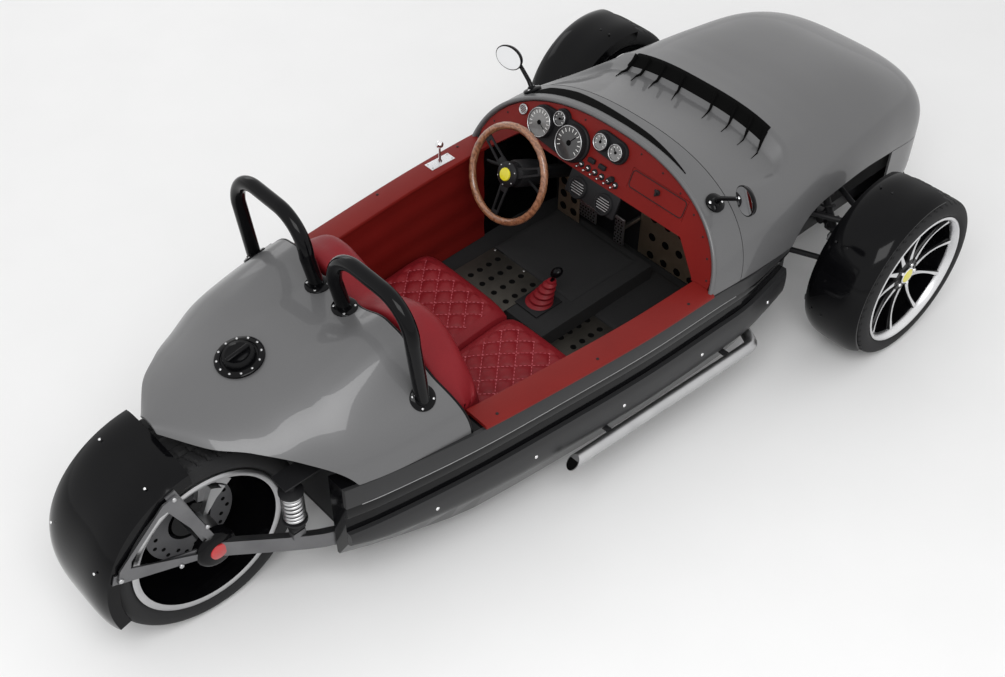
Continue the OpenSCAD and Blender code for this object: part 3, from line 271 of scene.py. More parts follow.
# The bronze is lightened to make up for the shade where the kick plates stand: painted light.
bronze = metal("bronze", (0.27, 0.215, 0.155), (0.46, 0.37, 0.27), 0.5, 0.18, (1, 6, 6), 0.06)
dark_plate_metal = metal("dark_plate_metal", (0.05, 0.047, 0.042), (0.13, 0.12, 0.105), 0.52, 0.2, (1, 6, 6), 0.06)
arm_grey = metal("arm_grey", (0.13, 0.13, 0.135), (0.22, 0.22, 0.225), 0.36, 0.16, (6, 1, 6), 0.06)
mirror_glass = metal("mirror_glass", (0.86, 0.87, 0.88), (0.92, 0.92, 0.93), 0.02, 0.02, (1, 1, 1), 0.0)
print("metals:", machined.name, steel.name, chrome.name, cast.name, bronze.name)

# %% [markdown]
# The steering wheel's rim is wood: long dark veins that run round it, under
# varnish. A wave texture bent by noise gives the veins. The small plain caps
# and the gauge faces are lacquered discs, and the lamps have a ribbed lens
# whose colour is striped light and dark with the ribs, as painted glints.

# %% Wood, caps and dials
rim_wood, shader, at = finish("rim_wood", {"Coat Weight": 0.8, "Coat Roughness": 0.08})
vein = at.node("ShaderNodeTexWave", {"bands_direction": "X"},
               {"Vector": at, "Scale": 26.0, "Distortion": 9.0, "Detail": 4.0, "Detail Scale": 2.0})
feed(shader, Base_Color=(0.7 * vein + 0.3 * at.noise(300)).mixed((0.13, 0.05, 0.024), (0.36, 0.16, 0.08)),
     Roughness=0.3 + 0.12 * vein, Normal=vein.bump(0.05, 0.0005))


def lacquer(name, deep, pale):
    material, shader, at = finish(name, {"Coat Weight": 0.7, "Coat Roughness": 0.06})
    tone = at.noise(60, 3.0)
    feed(shader, Base_Color=tone.mixed(deep, pale), Roughness=0.3 + 0.12 * tone)
    return material


cap_yellow = lacquer("cap_yellow", (0.66, 0.58, 0.01), (0.82, 0.74, 0.02))
cap_red = lacquer("cap_red", (0.36, 0.006, 0.008), (0.52, 0.012, 0.014))
dial_pale = lacquer("dial_pale", (0.11, 0.11, 0.11), (0.2, 0.2, 0.197))
dial_dark = lacquer("dial_dark", (0.014, 0.014, 0.015), (0.03, 0.03, 0.031))
mark_white = lacquer("mark_white", (0.7, 0.7, 0.68), (0.84, 0.84, 0.82))
# The lens colour is striped light and dark along its ribs: painted glints.
lens, shader, at = finish("lens", {"Coat Weight": 1.0, "Coat Roughness": 0.01, "Metallic": 0.5})
rib = at.node("ShaderNodeTexWave", {"bands_direction": "Y"}, {"Vector": at, "Scale": 40.0})
feed(shader, Base_Color=rib.mixed((0.5, 0.52, 0.55), (0.86, 0.88, 0.9)), Roughness=0.08 + 0.1 * rib,
     Normal=rib.bump(0.3, 0.001))
print("lacquers:", cap_yellow.name, cap_red.name, dial_pale.name)

# %% [markdown]
# Shapes are made as lists of points in millimetres from the front axle line on the ground, which is how the
# solids are drawn, and turned to metres once. Modifiers could make some of them, but points from a formula
# stay exact. A slab closes two grids of points, and a row of rings is skinned into a bar.


# %% Skins
def slab(outer, inner):
    """Closes the space between two equal grids of points."""
    outer, inner = np.asarray(outer, float), np.asarray(inner, float)
    n, m = outer.shape[:2]

    def at(side, i, j):
        return side * n * m + i * m + j

    faces = []
    for i in range(n - 1):
        for j in range(m - 1):
            faces.append((at(0, i, j), at(0, i + 1, j), at(0, i + 1, j + 1), at(0, i, j + 1)))
            faces.append((at(1, i, j), at(1, i, j + 1), at(1, i + 1, j + 1), at(1, i + 1, j)))
    for i in range(n - 1):
        for j, (p, q) in ((0, (0, 1)), (m - 1, (1, 0))):
            faces.append((at(p, i, j), at(q, i, j), at(q, i + 1, j), at(p, i + 1, j)))
    for j in range(m - 1):
        for i, (p, q) in ((0, (1, 0)), (n - 1, (0, 1))):
            faces.append((at(p, i, j), at(q, i, j), at(q, i, j + 1), at(p, i, j + 1)))
    return np.concatenate([outer.reshape(-1, 3), inner.reshape(-1, 3)]), faces


def looped(rings, capped=True):
    """Skins a row of equal closed rings."""
    rings = np.asarray(rings, float)
    n, m = rings.shape[:2]
    faces = [(i * m + k, i * m + (k + 1) % m, (i + 1) * m + (k + 1) % m, (i + 1) * m + k)
             for i in range(n - 1) for k in range(m)]
    if capped:
        faces += [tuple(range(m - 1, -1, -1)), tuple((n - 1) * m + k for k in range(m))]
    return rings.reshape(-1, 3), faces


print("a slab of one cell has", len(slab(np.zeros((2, 2, 3)), np.ones((2, 2, 3)))[1]), "faces")

# %% [markdown]
# Wheels, knobs and gauges are turned on a lathe, and tubes and springs are drawn along a path. The lathe
# turns a profile about Z, or about a wheel's axle. A pipe carries its circle along the path without a twist.

# %% Turned and drawn shapes
AXIS_R = 0.01
ASKEW = (0.31, 0.17, 0.93)


def circle(radius, count, height=0.0, start=0.0):
    """Points round the Z axis."""
    angles = start + np.linspace(0, 2 * math.pi, count, endpoint=False)
    return [(radius * math.cos(a), radius * math.sin(a), height) for a in angles]


def turned_up(profile, steps=20):
    """Turns (radius, height) pairs about Z, closed at its ends where the radius is small."""
    return looped([circle(max(r, AXIS_R), steps, z) for r, z in profile])


def around(profile, steps, start=0.0, end=360.0):
    """Turns a closed profile of (radius, across) about the Y axis; angles go from +X up to +Z."""
    full = abs(end - start) >= 360
    angles = np.radians(np.linspace(start, end, steps + (0 if full else 1), endpoint=not full))
    rings = [[(max(r, AXIS_R) * math.cos(a), y, max(r, AXIS_R) * math.sin(a)) for r, y in profile]
             for a in angles]
    return looped(rings + rings[:1], False) if full else looped(rings)


def bow(r0, r1, y0, y1, steps, start=0.0, end=360.0):
    """A bar of rectangular section that is bent round the axle."""
    return around([(r0, y0), (r1, y0), (r1, y1), (r0, y1)], steps, start, end)


def pipe(path, radius, sides=16, closed=False):
    """A tube along a path; the radius is one value, or one for each point."""
    path = np.asarray(path, float)
    ahead = np.roll(path, -1, 0) - np.roll(path, 1, 0)
    if not closed:
        ahead[0], ahead[-1] = path[1] - path[0], path[-1] - path[-2]
    ahead /= np.linalg.norm(ahead, axis=1)[:, None]
    side = np.cross(ahead[0], ASKEW)
    side /= np.linalg.norm(side)
    t = np.linspace(0, 2 * math.pi, sides, endpoint=False)
    rings = []
    for place, way, r in zip(path, ahead, np.broadcast_to(radius, len(path))):
        side = side - way * (side @ way)
        side /= np.linalg.norm(side)
        rings.append(place + r * (np.cos(t)[:, None] * side + np.sin(t)[:, None] * np.cross(way, side)))
    if closed:
        rings.append(rings[0])
    return looped(rings, not closed)


print("a ring drawn as a closed pipe has", len(pipe(circle(10, 12), 1, 8, True)[1]), "faces")

# %% [markdown]
# A piece is drawn about its own middle, then turned and moved into place. Most of the car is the same on
# both sides, so such shapes are drawn on the left and mirrored.

# %% Placing
UP = (0, 0, 1)


def moved(shape, matrix=None, shift=(0, 0, 0)):
    points = np.asarray(shape[0], float)
    if matrix is not None:
        points = points @ np.asarray(matrix, float).T
    return points + np.asarray(shift, float), shape[1]


def mirrored(shape):
    return shape[0] * np.array((1, -1, 1)), [f[::-1] for f in shape[1]]


def joined(shapes):
    points, faces, base = [], [], 0
    for p, f in shapes:
        points.append(p)
        faces += [tuple(k + base for k in face) for face in f]
        base += len(p)
    return np.concatenate(points), faces


def both(shape):
    return joined([shape, mirrored(shape)])


def flat_turn(shape, degrees):
    """Turns a shape about Z."""
    c, s = math.cos(math.radians(degrees)), math.sin(math.radians(degrees))
    return moved(shape, [[c, -s, 0], [s, c, 0], [0, 0, 1]])


def about_y(shape, degrees):
    """Turns a shape about Y, from +X up to +Z."""
    c, s = math.cos(math.radians(degrees)), math.sin(math.radians(degrees))
    return moved(shape, [[c, 0, -s], [0, 1, 0], [s, 0, c]])


def facing(normal):
    """A turn that takes +Z to a direction."""
    n = np.asarray(normal, float) / np.linalg.norm(normal)
    side = np.cross((0, 1, 0) if abs(n[1]) < 0.9 else (1, 0, 0), n)
    side /= np.linalg.norm(side)
    return np.array([side, np.cross(n, side), n]).T


def set_on(shape, place, normal):
    return moved(shape, facing(normal), place)


print("placing helpers ready")

# %% [markdown]
# Last among the helpers come a block with rounded edges, domed screw heads and the function that makes a
# mesh of a shape. It also gives the piece its body and hides the solids that it stands for.

# %% Blocks, screws and pieces
STUD = [(0, 0), (1, 0), (1, 0.5), (0.86, 0.78), (0.5, 0.94), (0, 1)]
WELD = 1e-6


def block(size, bevel, at=(0, 0, 0)):
    """A box with rounded edges, about a point."""
    b = bmesh.new()
    bmesh.ops.create_cube(b, size=1)
    bmesh.ops.scale(b, vec=size, verts=b.verts)
    bmesh.ops.bevel(b, geom=b.edges[:], offset=bevel, segments=3, profile=0.5, affect="EDGES")
    points = np.array([v.co[:] for v in b.verts]) + np.asarray(at)
    faces = [tuple(v.index for v in f.verts) for f in b.faces]
    b.free()
    return points, faces


def studs(places, normal, radius, height, steps=10):
    """Domed screw heads that all look one way."""
    head = turned_up([(r * radius, z * height) for r, z in STUD], steps)
    return joined([set_on(head, place, normal) for place in places])


def piece(name, shape, material, body="body", replaces=(), sharp=40, by_face=None):
    """Makes the mesh in metres, shades it, and lets it ride on its body."""
    points = (np.asarray(shape[0], float) + (AXLE_X * MM, 0, 0)) / MM
    mesh = bpy.data.meshes.new(name)
    mesh.from_pydata(points.tolist(), [], shape[1])
    b = bmesh.new()
    b.from_mesh(mesh)
    bmesh.ops.remove_doubles(b, verts=b.verts[:], dist=WELD)
    bmesh.ops.recalc_face_normals(b, faces=b.faces[:])
    b.to_mesh(mesh)
    b.free()
    mesh.polygons.foreach_set("use_smooth", [True] * len(mesh.polygons))
    mesh.set_sharp_from_angle(angle=math.radians(sharp))
    for m in material if isinstance(material, list) else [material]:
        mesh.materials.append(m)
    made = bpy.data.objects.new(name, mesh)
    bpy.context.scene.collection.objects.link(made)
    if by_face is not None:
        for face in mesh.polygons:
            face.material_index = by_face(face)
    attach(made, body)
    if replaces:
        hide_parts(*replaces)
    print(name, len(mesh.polygons), "faces")
    return made


print("piece helpers ready")

# %% [markdown]
# The body panels are lofts through a few sections, the same ones that the
# solids use. Here they are sampled much finer, so that the reflections run
# smoothly. First come the curve helpers and the side lines of the body.

# %% Section curves
WHEELBASE, HALF_W, SILL, COWL, DECK = 2540.0, 620.0, 590.0, 885.0, 850.0
NOSE_X, HOOP_X = 725.0, -0.2835 * WHEELBASE
SKIN, WALL, BAND, EDGE_GAP, WALL_GAP = 8.0, 64.0, 14.0, 0.8, 0.3
FLOOR_TOP, TUNNEL_TOP = 158.0, 228.0
PER_ROW = 6


def through(rows, column, u):
    """A smooth curve through one column of a table, at row place u."""
    rows = np.asarray(rows, float)
    u = np.asarray(u, float)
    i = np.minimum(np.floor(u).astype(int), len(rows) - 2)
    t = u - i
    p0, p1, p2, p3 = (rows[np.clip(i + k, 0, len(rows) - 1), column] for k in (-1, 0, 1, 2))
    return p1 + t * ((p2 - p0) / 2 + t * (p0 - 2.5 * p1 + 2 * p2 - p3 / 2
                                          + t * (1.5 * (p1 - p2) + (p3 - p0) / 2)))


def fine_line(rows, column):
    u = np.linspace(0, len(rows) - 1, PER_ROW * (len(rows) - 1) + 1)
    return through(rows, 0, u), through(rows, column, u)


SIDE = [[0.155, 0.9, 0.875, 0.82, 0.7, 0.47], [0.2, 0.935, 0.91, 0.82, 0.7, 0.465],
        [0.256, 0.965, 0.945, 0.82, 0.695, 0.455], [0.32, 0.962, 0.98, 0.815, 0.69, 0.45],
        [0.45, 0.945, 0.98, 0.81, 0.685, 0.445], [0.58, 0.9, 0.98, 0.805, 0.68, 0.445],
        [0.715, 0.838, 0.98, 0.79, 0.67, 0.455], [0.83, 0.75, 0.98, 0.77, 0.65, 0.49],
        [0.882, 0.695, 0.98, 0.765, 0.64, 0.54]]
SIDE_FRONT, SIDE_REAR = -SIDE[0][0] * WHEELBASE, -SIDE[-1][0] * WHEELBASE
SIDE_LINES = [fine_line(SIDE, c) for c in range(1, 6)]


def side_line(c, x):
    return np.interp(-x / WHEELBASE, *SIDE_LINES[c])


def plan_w(x):
    return side_line(0, x) * HALF_W


def band_top(x):
    return side_line(1, x) * SILL


def wall_in(x):
    """The inner face of the side wall."""
    return plan_w(x) - BAND - WALL


def room_w(x):
    return wall_in(x) - WALL_GAP


def soft_step(t):
    t = np.clip(t, 0, 1)
    return t * t * (3 - 2 * t)


print("half width at the cowl", round(float(plan_w(HOOP_X)), 1), "mm")

# %% [markdown]
# The front of the body: a squared arch that grows from the nose to the cowl hoop, cut by the wheel arches.
# Near its rear the bonnet rises in a lip and drops behind it, where hot air comes out. A dip along the
# sections makes that step, so bonnet, lip and outlet stay one surface.

# %% Front sections
FRONT = [[0, 0.42, 0.614, 0.5, 2.6, 0], [0.038, 0.575, 0.715, 0.495, 2.8, 0],
         [0.114, 0.68, 0.8, 0.49, 3.2, 0], [0.257, 0.735, 0.886, 0.485, 3.3, 0],
         [0.428, 0.79, 0.927, 0.485, 3.1, 0],
         [0.599, 0.85, 0.945, 0.49, 2.9, 0.02], [0.78, 0.925, 0.958, 0.53, 2.6, 0.12],
         [0.931, 0.962, 0.992, 0.58, 2.4, 0.3], [1, 0.955, 1.0, 0.6, 2.3, 0.45]]
COWL_ROW, HOOP_ROW = 7, len(FRONT) - 1
ARCH = [[-0.24, 0.735], [-0.108, 0.873], [-0.04, 0.93], [0.03, 0.965], [0.085, 0.985], [0.12, 0.97],
        [0.145, 0.925], [0.155, 0.89]]
ARCH_LINE = fine_line(ARCH, 1)
DIP = ([4.6, 5.0, 5.3, 5.5, 5.56, 5.74, 6, 6.5, 7], [0, 0.12, 0.36, 0.6, 0.5, -0.98, -0.88, -0.45, 0])
DIP_DEPTH, DIP_HALF, DIP_FADE = 30, 0.56, 0.1
NOSE_SWEEP, NOSE_ROWS, FOOT_DROP = 46, 2, 2


def dip(u, s):
    return DIP_DEPTH * np.interp(u, *DIP) * soft_step((DIP_HALF - abs(s)) / DIP_FADE)


def squared_arch(s, w, crown, base, cut, square):
    """Angle, out and up at share s of a squared arch, from its crown (0) to the height that cuts it (1)."""
    a = s * math.acos(min(1, max(0, (cut - base) / (crown - base))) ** (square / 2))
    y = math.copysign(w * abs(math.sin(a)) ** (2 / square), a)
    return a, y, base + (crown - base) * abs(math.cos(a)) ** (2 / square)


def front_point(u, s, inset=0.0):
    """The skin at row u of the table and share s across, or a place under it by the inset."""
    x = NOSE_X - through(FRONT, 0, u) * (NOSE_X - HOOP_X)
    w = through(FRONT, 1, u) * HALF_W - inset
    crown, base = through(FRONT, 2, u) * COWL - inset, through(FRONT, 3, u) * COWL - FOOT_DROP
    square, lean = through(FRONT, 4, u), through(FRONT, 5, u)
    foot_x = x - lean * (crown - base)
    if foot_x < SIDE_FRONT:
        cut = band_top(foot_x) + EDGE_GAP
    else:
        cut = max(base, np.interp(-foot_x / WHEELBASE, *ARCH_LINE) * SILL)
    a, y, z = squared_arch(s, w, crown, base, cut, square)
    near = max(0, 1 - u / NOSE_ROWS)
    back = inset * near + NOSE_SWEEP * near ** 2 * math.sin(a) ** 2 + lean * (crown - z)
    return np.array((x - back, y, z + dip(u, s)))


def front_normal(u, s, step=0.01):
    p = front_point(u, s)
    n = np.cross(front_point(u, s + step) - p, front_point(u - step, s) - p)
    return n / np.linalg.norm(n) * (1 if n[2] > 0 else -1)


def front_grid(us, ss, inset=0.0):
    """Points at rows and shares; the inset is one depth, or one for each row."""
    return [[front_point(u, s, d) for s in ss] for u, d in zip(us, np.broadcast_to(inset, len(us)))]


print("the cowl's crown stands at", round(float(front_point(HOOP_ROW, 0)[2]), 1), "mm")

# %% [markdown]
# Bonnet and cowl are two skins on that surface, with a narrow shut line between them. The cowl is thicker at
# its hoop, and a round bead finishes the edge towards the riders.

# %% Bonnet and cowl
SHUT_LINE = np.array((-3.0, 0, 0))
RIM_ROW, RIM_DEPTH = 7.7, 15
ACROSS = np.linspace(-1, 1, 97)
bonnet_rows = np.unique(np.concatenate([np.linspace(0, COWL_ROW, 85), np.linspace(5.4, 5.8, 13)]))
piece("bonnet_skin", slab(front_grid(bonnet_rows, ACROSS), front_grid(bonnet_rows, ACROSS, SKIN)),
      body_grey, replaces=["bonnet"], sharp=50)
cowl_rows = np.linspace(COWL_ROW, HOOP_ROW, 19)
cowl_depth = [RIM_DEPTH if u > RIM_ROW else SKIN for u in cowl_rows]
cowl = slab(front_grid(cowl_rows, ACROSS), front_grid(cowl_rows, ACROSS, cowl_depth))
piece("cowl_skin", moved(cowl, shift=SHUT_LINE), body_grey, replaces=["cowl"], sharp=50)
hoop_line = [front_point(HOOP_ROW, s, 6.0) + SHUT_LINE + (-2, 0, 0) for s in np.linspace(-1, 1, 121)]
piece("hoop_bead", pipe(hoop_line, 8.5, 14), body_grey)

# %% [markdown]
# Behind the lip lies a black panel with blades that end in points on the slope;
# its near-black is painted shade in the opening. Along the top of the cowl a black
# slot takes the foot of the screen; it is painted shade in that gap. Both lie a
# hair above the painted skin, so they are strips of its own grid, lifted along Z.

# %% Outlet and screen slot
OUTLET_HALF, OUTLET_FROM, OUTLET_TO = 0.35, 5.5, 5.68
BLADES, BLADE_HALF, BLADE_FROM, BLADE_RUN, BLADE_SKEW = 8, 0.335, 5.58, 0.42, 0.03
BLADE_LOW, BLADE_RISE, BLADE_POINT, BLADE_WIDE = 3, 15, 0.6, 11
SLOT_ROW, SLOT = 7.62, [[-0.33, 0.03], [-0.1, 0.26], [0.25, 0.44], [0.42, 0.4], [0.5, 0.06]]


def lifted(grid, height):
    return np.asarray(grid) + np.array((0, 0, height))


outlet_grid = front_grid(np.linspace(OUTLET_FROM, OUTLET_TO, 14), np.linspace(-OUTLET_HALF, OUTLET_HALF, 45))
outlet = [slab(lifted(outlet_grid, 4), lifted(outlet_grid, 0.9))]
for s in np.linspace(-BLADE_HALF, BLADE_HALF, BLADES):
    blade = []
    for t in np.linspace(0, 1, 11):
        foot = front_point(BLADE_FROM + BLADE_RUN * t, s - BLADE_SKEW * t)
        height, half = BLADE_LOW + BLADE_RISE * (1 - t) ** 1.4, BLADE_POINT + BLADE_WIDE * (1 - t) ** 2.2
        blade.append([foot + (0, -half, 0.5), foot + (0, half, 0.5), foot + (0, half / 2, height),
                      foot + (0, -half / 2, height)])
    outlet.append(looped(blade))
# The outlet's near-black panel is painted shade in the opening.
piece("outlet_blades", joined(outlet), shade_and_plain_black, replaces=["bonnet_vent"])
slot_s = np.linspace(SLOT[0][0], SLOT[-1][0], 61)
slot_w = np.interp(slot_s, *np.transpose(SLOT))
slot_top = [[front_point(SLOT_ROW - w * k, s) + SHUT_LINE for s, w in zip(slot_s, slot_w)]
            for k in np.linspace(0, 1, 7)]
# This near-black strip is painted shade in the gap at the screen's foot.
piece("screen_gap_shade", slab(lifted(slot_top, 2.2), lifted(slot_top, 0.4)), shade_and_plain_black)

# %% [markdown]
# The rear deck is a boat tail with two fairings behind the heads. The same kind of loft is used, with a bump
# of height across the section at each seat that dies away to the tail.

# %% Deck sections
TAIL = [[0, 0.815, 1.0, 0.66, 1, 0.3], [0.12, 0.79, 0.995, 0.655, 0.85, 0.35],
        [0.25, 0.763, 0.985, 0.65, 0.6, 0.4], [0.37, 0.732, 0.975, 0.645, 0.35, 0.55],
        [0.46, 0.701, 0.962, 0.64, 0.15, 0.713], [0.6, 0.619, 0.942, 0.64, 0, 0.796],
        [0.75, 0.523, 0.925, 0.674, 0, 0.848], [0.88, 0.378, 0.915, 0.722, 0, 0.867],
        [1, 0.11, 0.91, 0.766, 0, 0.885]]
TAIL_LINES = [fine_line(TAIL, c) for c in range(1, 5)]
DECK_FRONT, DECK_OVERHANG, DECK_SQUARE = -0.748 * WHEELBASE, 35, 2.3
DECK_L = DECK_FRONT + WHEELBASE + DECK_OVERHANG
DECK_SWEEP, SWEEP_ROWS = 75, 3
FAIRING_Y, FAIRING_H, FAIRING_HALF, FAIRING_FULL = 248, 52, 165, 1.15


def fairing(y):
    """How far a fairing has risen at a place across the deck, from 0 to 1."""
    return soft_step(FAIRING_FULL * np.maximum(0, 1 - abs(abs(y) - FAIRING_Y) / FAIRING_HALF))


def swept(u):
    return DECK_SWEEP * max(0, 1 - u / SWEEP_ROWS) ** 2


def deck_point(u, s, inset=0.0):
    """The deck's skin at row u of the table and share s across."""
    x = DECK_FRONT - through(TAIL, 0, u) * DECK_L
    w = through(TAIL, 1, u) * HALF_W - inset
    crown, base = through(TAIL, 2, u) * DECK - inset, through(TAIL, 3, u) * DECK
    cut = max(band_top(x + swept(u)) + EDGE_GAP, through(TAIL, 5, u) * DECK)
    a, y, z = squared_arch(s, w, crown, base, cut, DECK_SQUARE)
    lift = through(TAIL, 4, u) * FAIRING_H * fairing(y)
    return np.array((x + swept(u) * math.sin(a) ** 4, y, z + lift))


def deck_z(x, y):
    """The deck's height above a point, for what stands on it."""
    places, widths = TAIL_LINES[0]
    share = (DECK_FRONT - x) / DECK_L
    out = min(1, abs(y) / (np.interp(share, places, widths) * HALF_W))
    row = np.interp(share, places, np.linspace(0, len(TAIL) - 1, len(places)))
    share += swept(row) * out ** (2 * DECK_SQUARE) / DECK_L
    w, crown, base, lift = (np.interp(share, *line) for line in TAIL_LINES)
    arch = max(0, 1 - min(1, abs(y) / (w * HALF_W)) ** DECK_SQUARE) ** (1 / DECK_SQUARE)
    return base * DECK + (crown - base) * DECK * arch + lift * FAIRING_H * fairing(y)


def deck_normal(x, y, d=4.0):
    slope_x = (deck_z(x + d, y) - deck_z(x - d, y)) / (2 * d)
    slope_y = (deck_z(x, y + d) - deck_z(x, y - d)) / (2 * d)
    n = np.array((-slope_x, -slope_y, 1))
    return n / np.linalg.norm(n)


print("deck length", round(DECK_L, 1), "mm")

# %% [markdown]
# The deck is a skin on that surface, with a thin black bead along its front edge. A black panel hangs from
# it behind the seats and closes the space below.

# %% Deck
CLOSING_ROW, CLOSING_FOOT, CLOSING_THICK = 0.3, 572, 4
deck_rows, deck_s = np.linspace(0, len(TAIL) - 1, 97), np.linspace(-1, 1, 129)
deck_out, deck_in = ([[deck_point(u, s, d) for s in deck_s] for u in deck_rows] for d in (0.0, SKIN))
piece("deck_skin", slab(deck_out, deck_in), body_grey, replaces=["deck"], sharp=50)
deck_lip = [deck_point(0, s, 3.0) + (1, 0, -1) for s in np.linspace(-1, 1, 161)]
piece("deck_bead", pipe(deck_lip, 5.0, 10), gloss_black)
lip_row = [deck_point(CLOSING_ROW, s, SKIN + 1.5) for s in np.linspace(-0.97, 0.97, 97)]
closing = [[p * (1, 1, 1 - k) + (0, 0, k * CLOSING_FOOT) for k in np.linspace(0, 1, 7)] for p in lip_row]
piece("deck_closing", slab(closing, np.asarray(closing) - (CLOSING_THICK, 0, 0)), matt_black)

# %% [markdown]
# The nose below the bonnet follows the bonnet's own edge round the corners and closes in front with a low
# lip. It is drawn as one strip that turns under at its foot.

# %% Nose
NOSE_TIP, LIP_Z, NOSE_FOOT, NOSE_TUCK, NOSE_GAP, LIP_SHARE = 731, 262.0, 190, 12, 3, 0.97
nose_side = [front_point(u, 1.0) + (0, 0, -NOSE_GAP) for u in np.linspace(3, 0, 25)]
corner = nose_side[-1]
bulge = NOSE_TIP - corner[0]
front_lip = [np.array((corner[0] + bulge * (1 - k * k), corner[1] * k * LIP_SHARE, LIP_Z))
             for k in np.linspace(1, -1, 33)[1:-1]]
nose_line = np.array(nose_side + front_lip + [p * (1, -1, 1) for p in nose_side[::-1]])
along = np.gradient(nose_line[:, :2], axis=0)
along /= np.linalg.norm(along, axis=1)[:, None]
inward = np.stack([along[:, 1], -along[:, 0], 0 * along[:, 0]], 1)
inward *= np.sign(inward[0] @ (0, -1, 0))


def nose_strip(inset):
    rows = []
    for p, n in zip(nose_line, inward):
        rows.append([(p[0], p[1], p[2] + (NOSE_FOOT - p[2]) * k)
                     + (inset + NOSE_TUCK * soft_step((k - 0.5) * 2)) * n for k in np.linspace(0, 1, 9)])
    return rows


piece("nose_skin", slab(nose_strip(0), nose_strip(SKIN)), body_grey, replaces=["nose_panel"],
      sharp=50)

# %% [markdown]
# A tyre is a turned outline with a moulded tread. The outline goes round the wheel in small steps, and the
# radius drops where a groove or a sipe lies, so that the tread is real geometry and shows in the silhouette.

# %% Tyres
TYRE = [[0, 0.92], [0.2, 0.985], [0.45, 1], [0.72, 0.965], [0.9, 0.885], [0.97, 0.76], [1, 0.42], [1, 0]]
FRONT_R, REAR_R, RIM_R, TRACK = 318.0, 328.0, 257.0, 748.0
FRONT_TYRE_W, REAR_TYRE_W, FRONT_BLOCKS, REAR_BLOCKS, PER_BLOCK = 225, 285, 56, 58, 6
BEAD_R, BEAD_IN, TREAD_DEEP, GROOVE, SIPE = 246, 12.5, 9, 6, 4.5
GROOVES, GROOVE_HALF, SIPES_FROM, SIPE_SLANT = (0.2, 0.5), 0.035, 0.27, 9


def tyre(radius, width, blocks):
    half, seat = width / 2, RIM_R + 0.5
    u = np.linspace(0, len(TYRE) - 1, 43)
    side = [(seat + t * (radius - seat), y * half) for t, y in zip(through(TYRE, 0, u), through(TYRE, 1, u))]
    outline = np.array([(BEAD_R, half - BEAD_IN), (seat, half - BEAD_IN)] + side)
    outline = np.concatenate([outline * (1, -1), outline[-2::-1]])
    steps = blocks * PER_BLOCK
    rings = []
    for k in range(steps):
        a = 2 * math.pi * k / steps
        ring = []
        for r, y in outline:
            share = abs(y) / half
            tread = r > radius - TREAD_DEEP
            groove = tread and min(abs(share - g) for g in GROOVES) < GROOVE_HALF
            sipe = tread and share > SIPES_FROM and (k + int(share * SIPE_SLANT)) % PER_BLOCK == 0
            r = r - (GROOVE if groove else SIPE if sipe else 0)
            ring.append((r * math.cos(a), y, r * math.sin(a)))
        rings.append(ring)
    return looped(rings + rings[:1], False)


def at_rear(shape):
    """Carries a shape that is drawn about its axle to the rear wheel."""
    return moved(shape, shift=(-WHEELBASE, 0, REAR_R))


def front_pair(name, shape, material, rides, node=None, sharp=40, by_face=None):
    """Carries such a shape to the left front wheel, and its mirror image to the right one."""
    left = moved(shape, shift=(0, TRACK, FRONT_R))
    for side, made in (("left", left), ("right", mirrored(left))):
        stands_for = [node + "_" + side] if node else ()
        piece(name + "_" + side[0], made, material, side + "_" + rides, stands_for, sharp, by_face)


front_tyre = tyre(FRONT_R, FRONT_TYRE_W, FRONT_BLOCKS)
front_pair("front_tyre", front_tyre, rubber, "wheel", "front_tyre", 30)
rear_tyre = tyre(REAR_R, REAR_TYRE_W, REAR_BLOCKS)
piece("rear_tyre_tread", at_rear(rear_tyre), rubber, "rear_wheel", ["rear_tyre"], 30)

# %% [markdown]
# The front rims have ten slim spokes, milled bright on their faces and black between. Each spoke is a bar
# with chamfers whose face bows towards the lip. The finish is chosen by where a face points.

# %% Front rims
SPOKES, FIRST_SPOKE, SPOKE_FROM, SPOKE_RUN, SPOKE_DEEP, SPOKE_THIN = 10, 9, 46, 194, 22, 6
SPOKE_HALF, SPOKE_WAIST, SPOKE_FLARE, FACE_Y, FACE_BOW, FACE_RISE = 13.5, 7.5, 5, 66, 6, 24
BARREL = [(236, -108.5), (257, -108.5), (257, -100.5), (245, -100.5), (245, 100.5), (257, 100.5), (257, 107),
          (253, 109.5), (248, 108), (243, 101), (238, 92), (236, 80)]
HUB = [(0, -19), (66, -19), (66, 56), (60, 63), (36, 67), (32, 70), (0, 70)]
HUB_R, LIP_R, LIP_OUT = 67, 236, 78


def spoke():
    rings = []
    for t in np.linspace(0, 1, 11):
        r, deep = SPOKE_FROM + SPOKE_RUN * t, SPOKE_DEEP - SPOKE_THIN * t
        half = SPOKE_HALF - SPOKE_WAIST * math.sin(math.pi * min(1, t * 1.15) / 2) + SPOKE_FLARE * t ** 6
        face = FACE_Y - FACE_BOW * math.sin(math.pi * t) + FACE_RISE * t ** 3
        rings.append([(r, face - deep, -half * 1.25), (r, face - 3, -half), (r, face, -half + 2.5),
                      (r, face, half - 2.5), (r, face - 3, half), (r, face - deep, half * 1.25)])
    return looped(rings)


def bright_face(face):
    """The milled faces: those that look outwards, and the lip."""
    x, y, z = in_mm(face.center)
    r = math.hypot(x, z - FRONT_R)
    outward = abs(face.normal[1]) > 0.75 and face.normal[1] * y > 0
    lip = r > LIP_R and abs(y) > TRACK + LIP_OUT
    return int(lip or (outward and r > HUB_R))


spokes = [about_y(spoke(), 360 * k / SPOKES + FIRST_SPOKE) for k in range(SPOKES)]
rim = joined([around(BARREL, 96)] + spokes + [around(HUB, 48)])
front_pair("front_rim", rim, [gloss_black, machined], "wheel", "front_rim", 35, bright_face)

# %% [markdown]
# Behind the spokes turns a brake disc with a groove in its edge. The hub has a plain yellow cap in a bright
# ring, with five wheel nuts round it. All of them are turned profiles, as the real ones are.

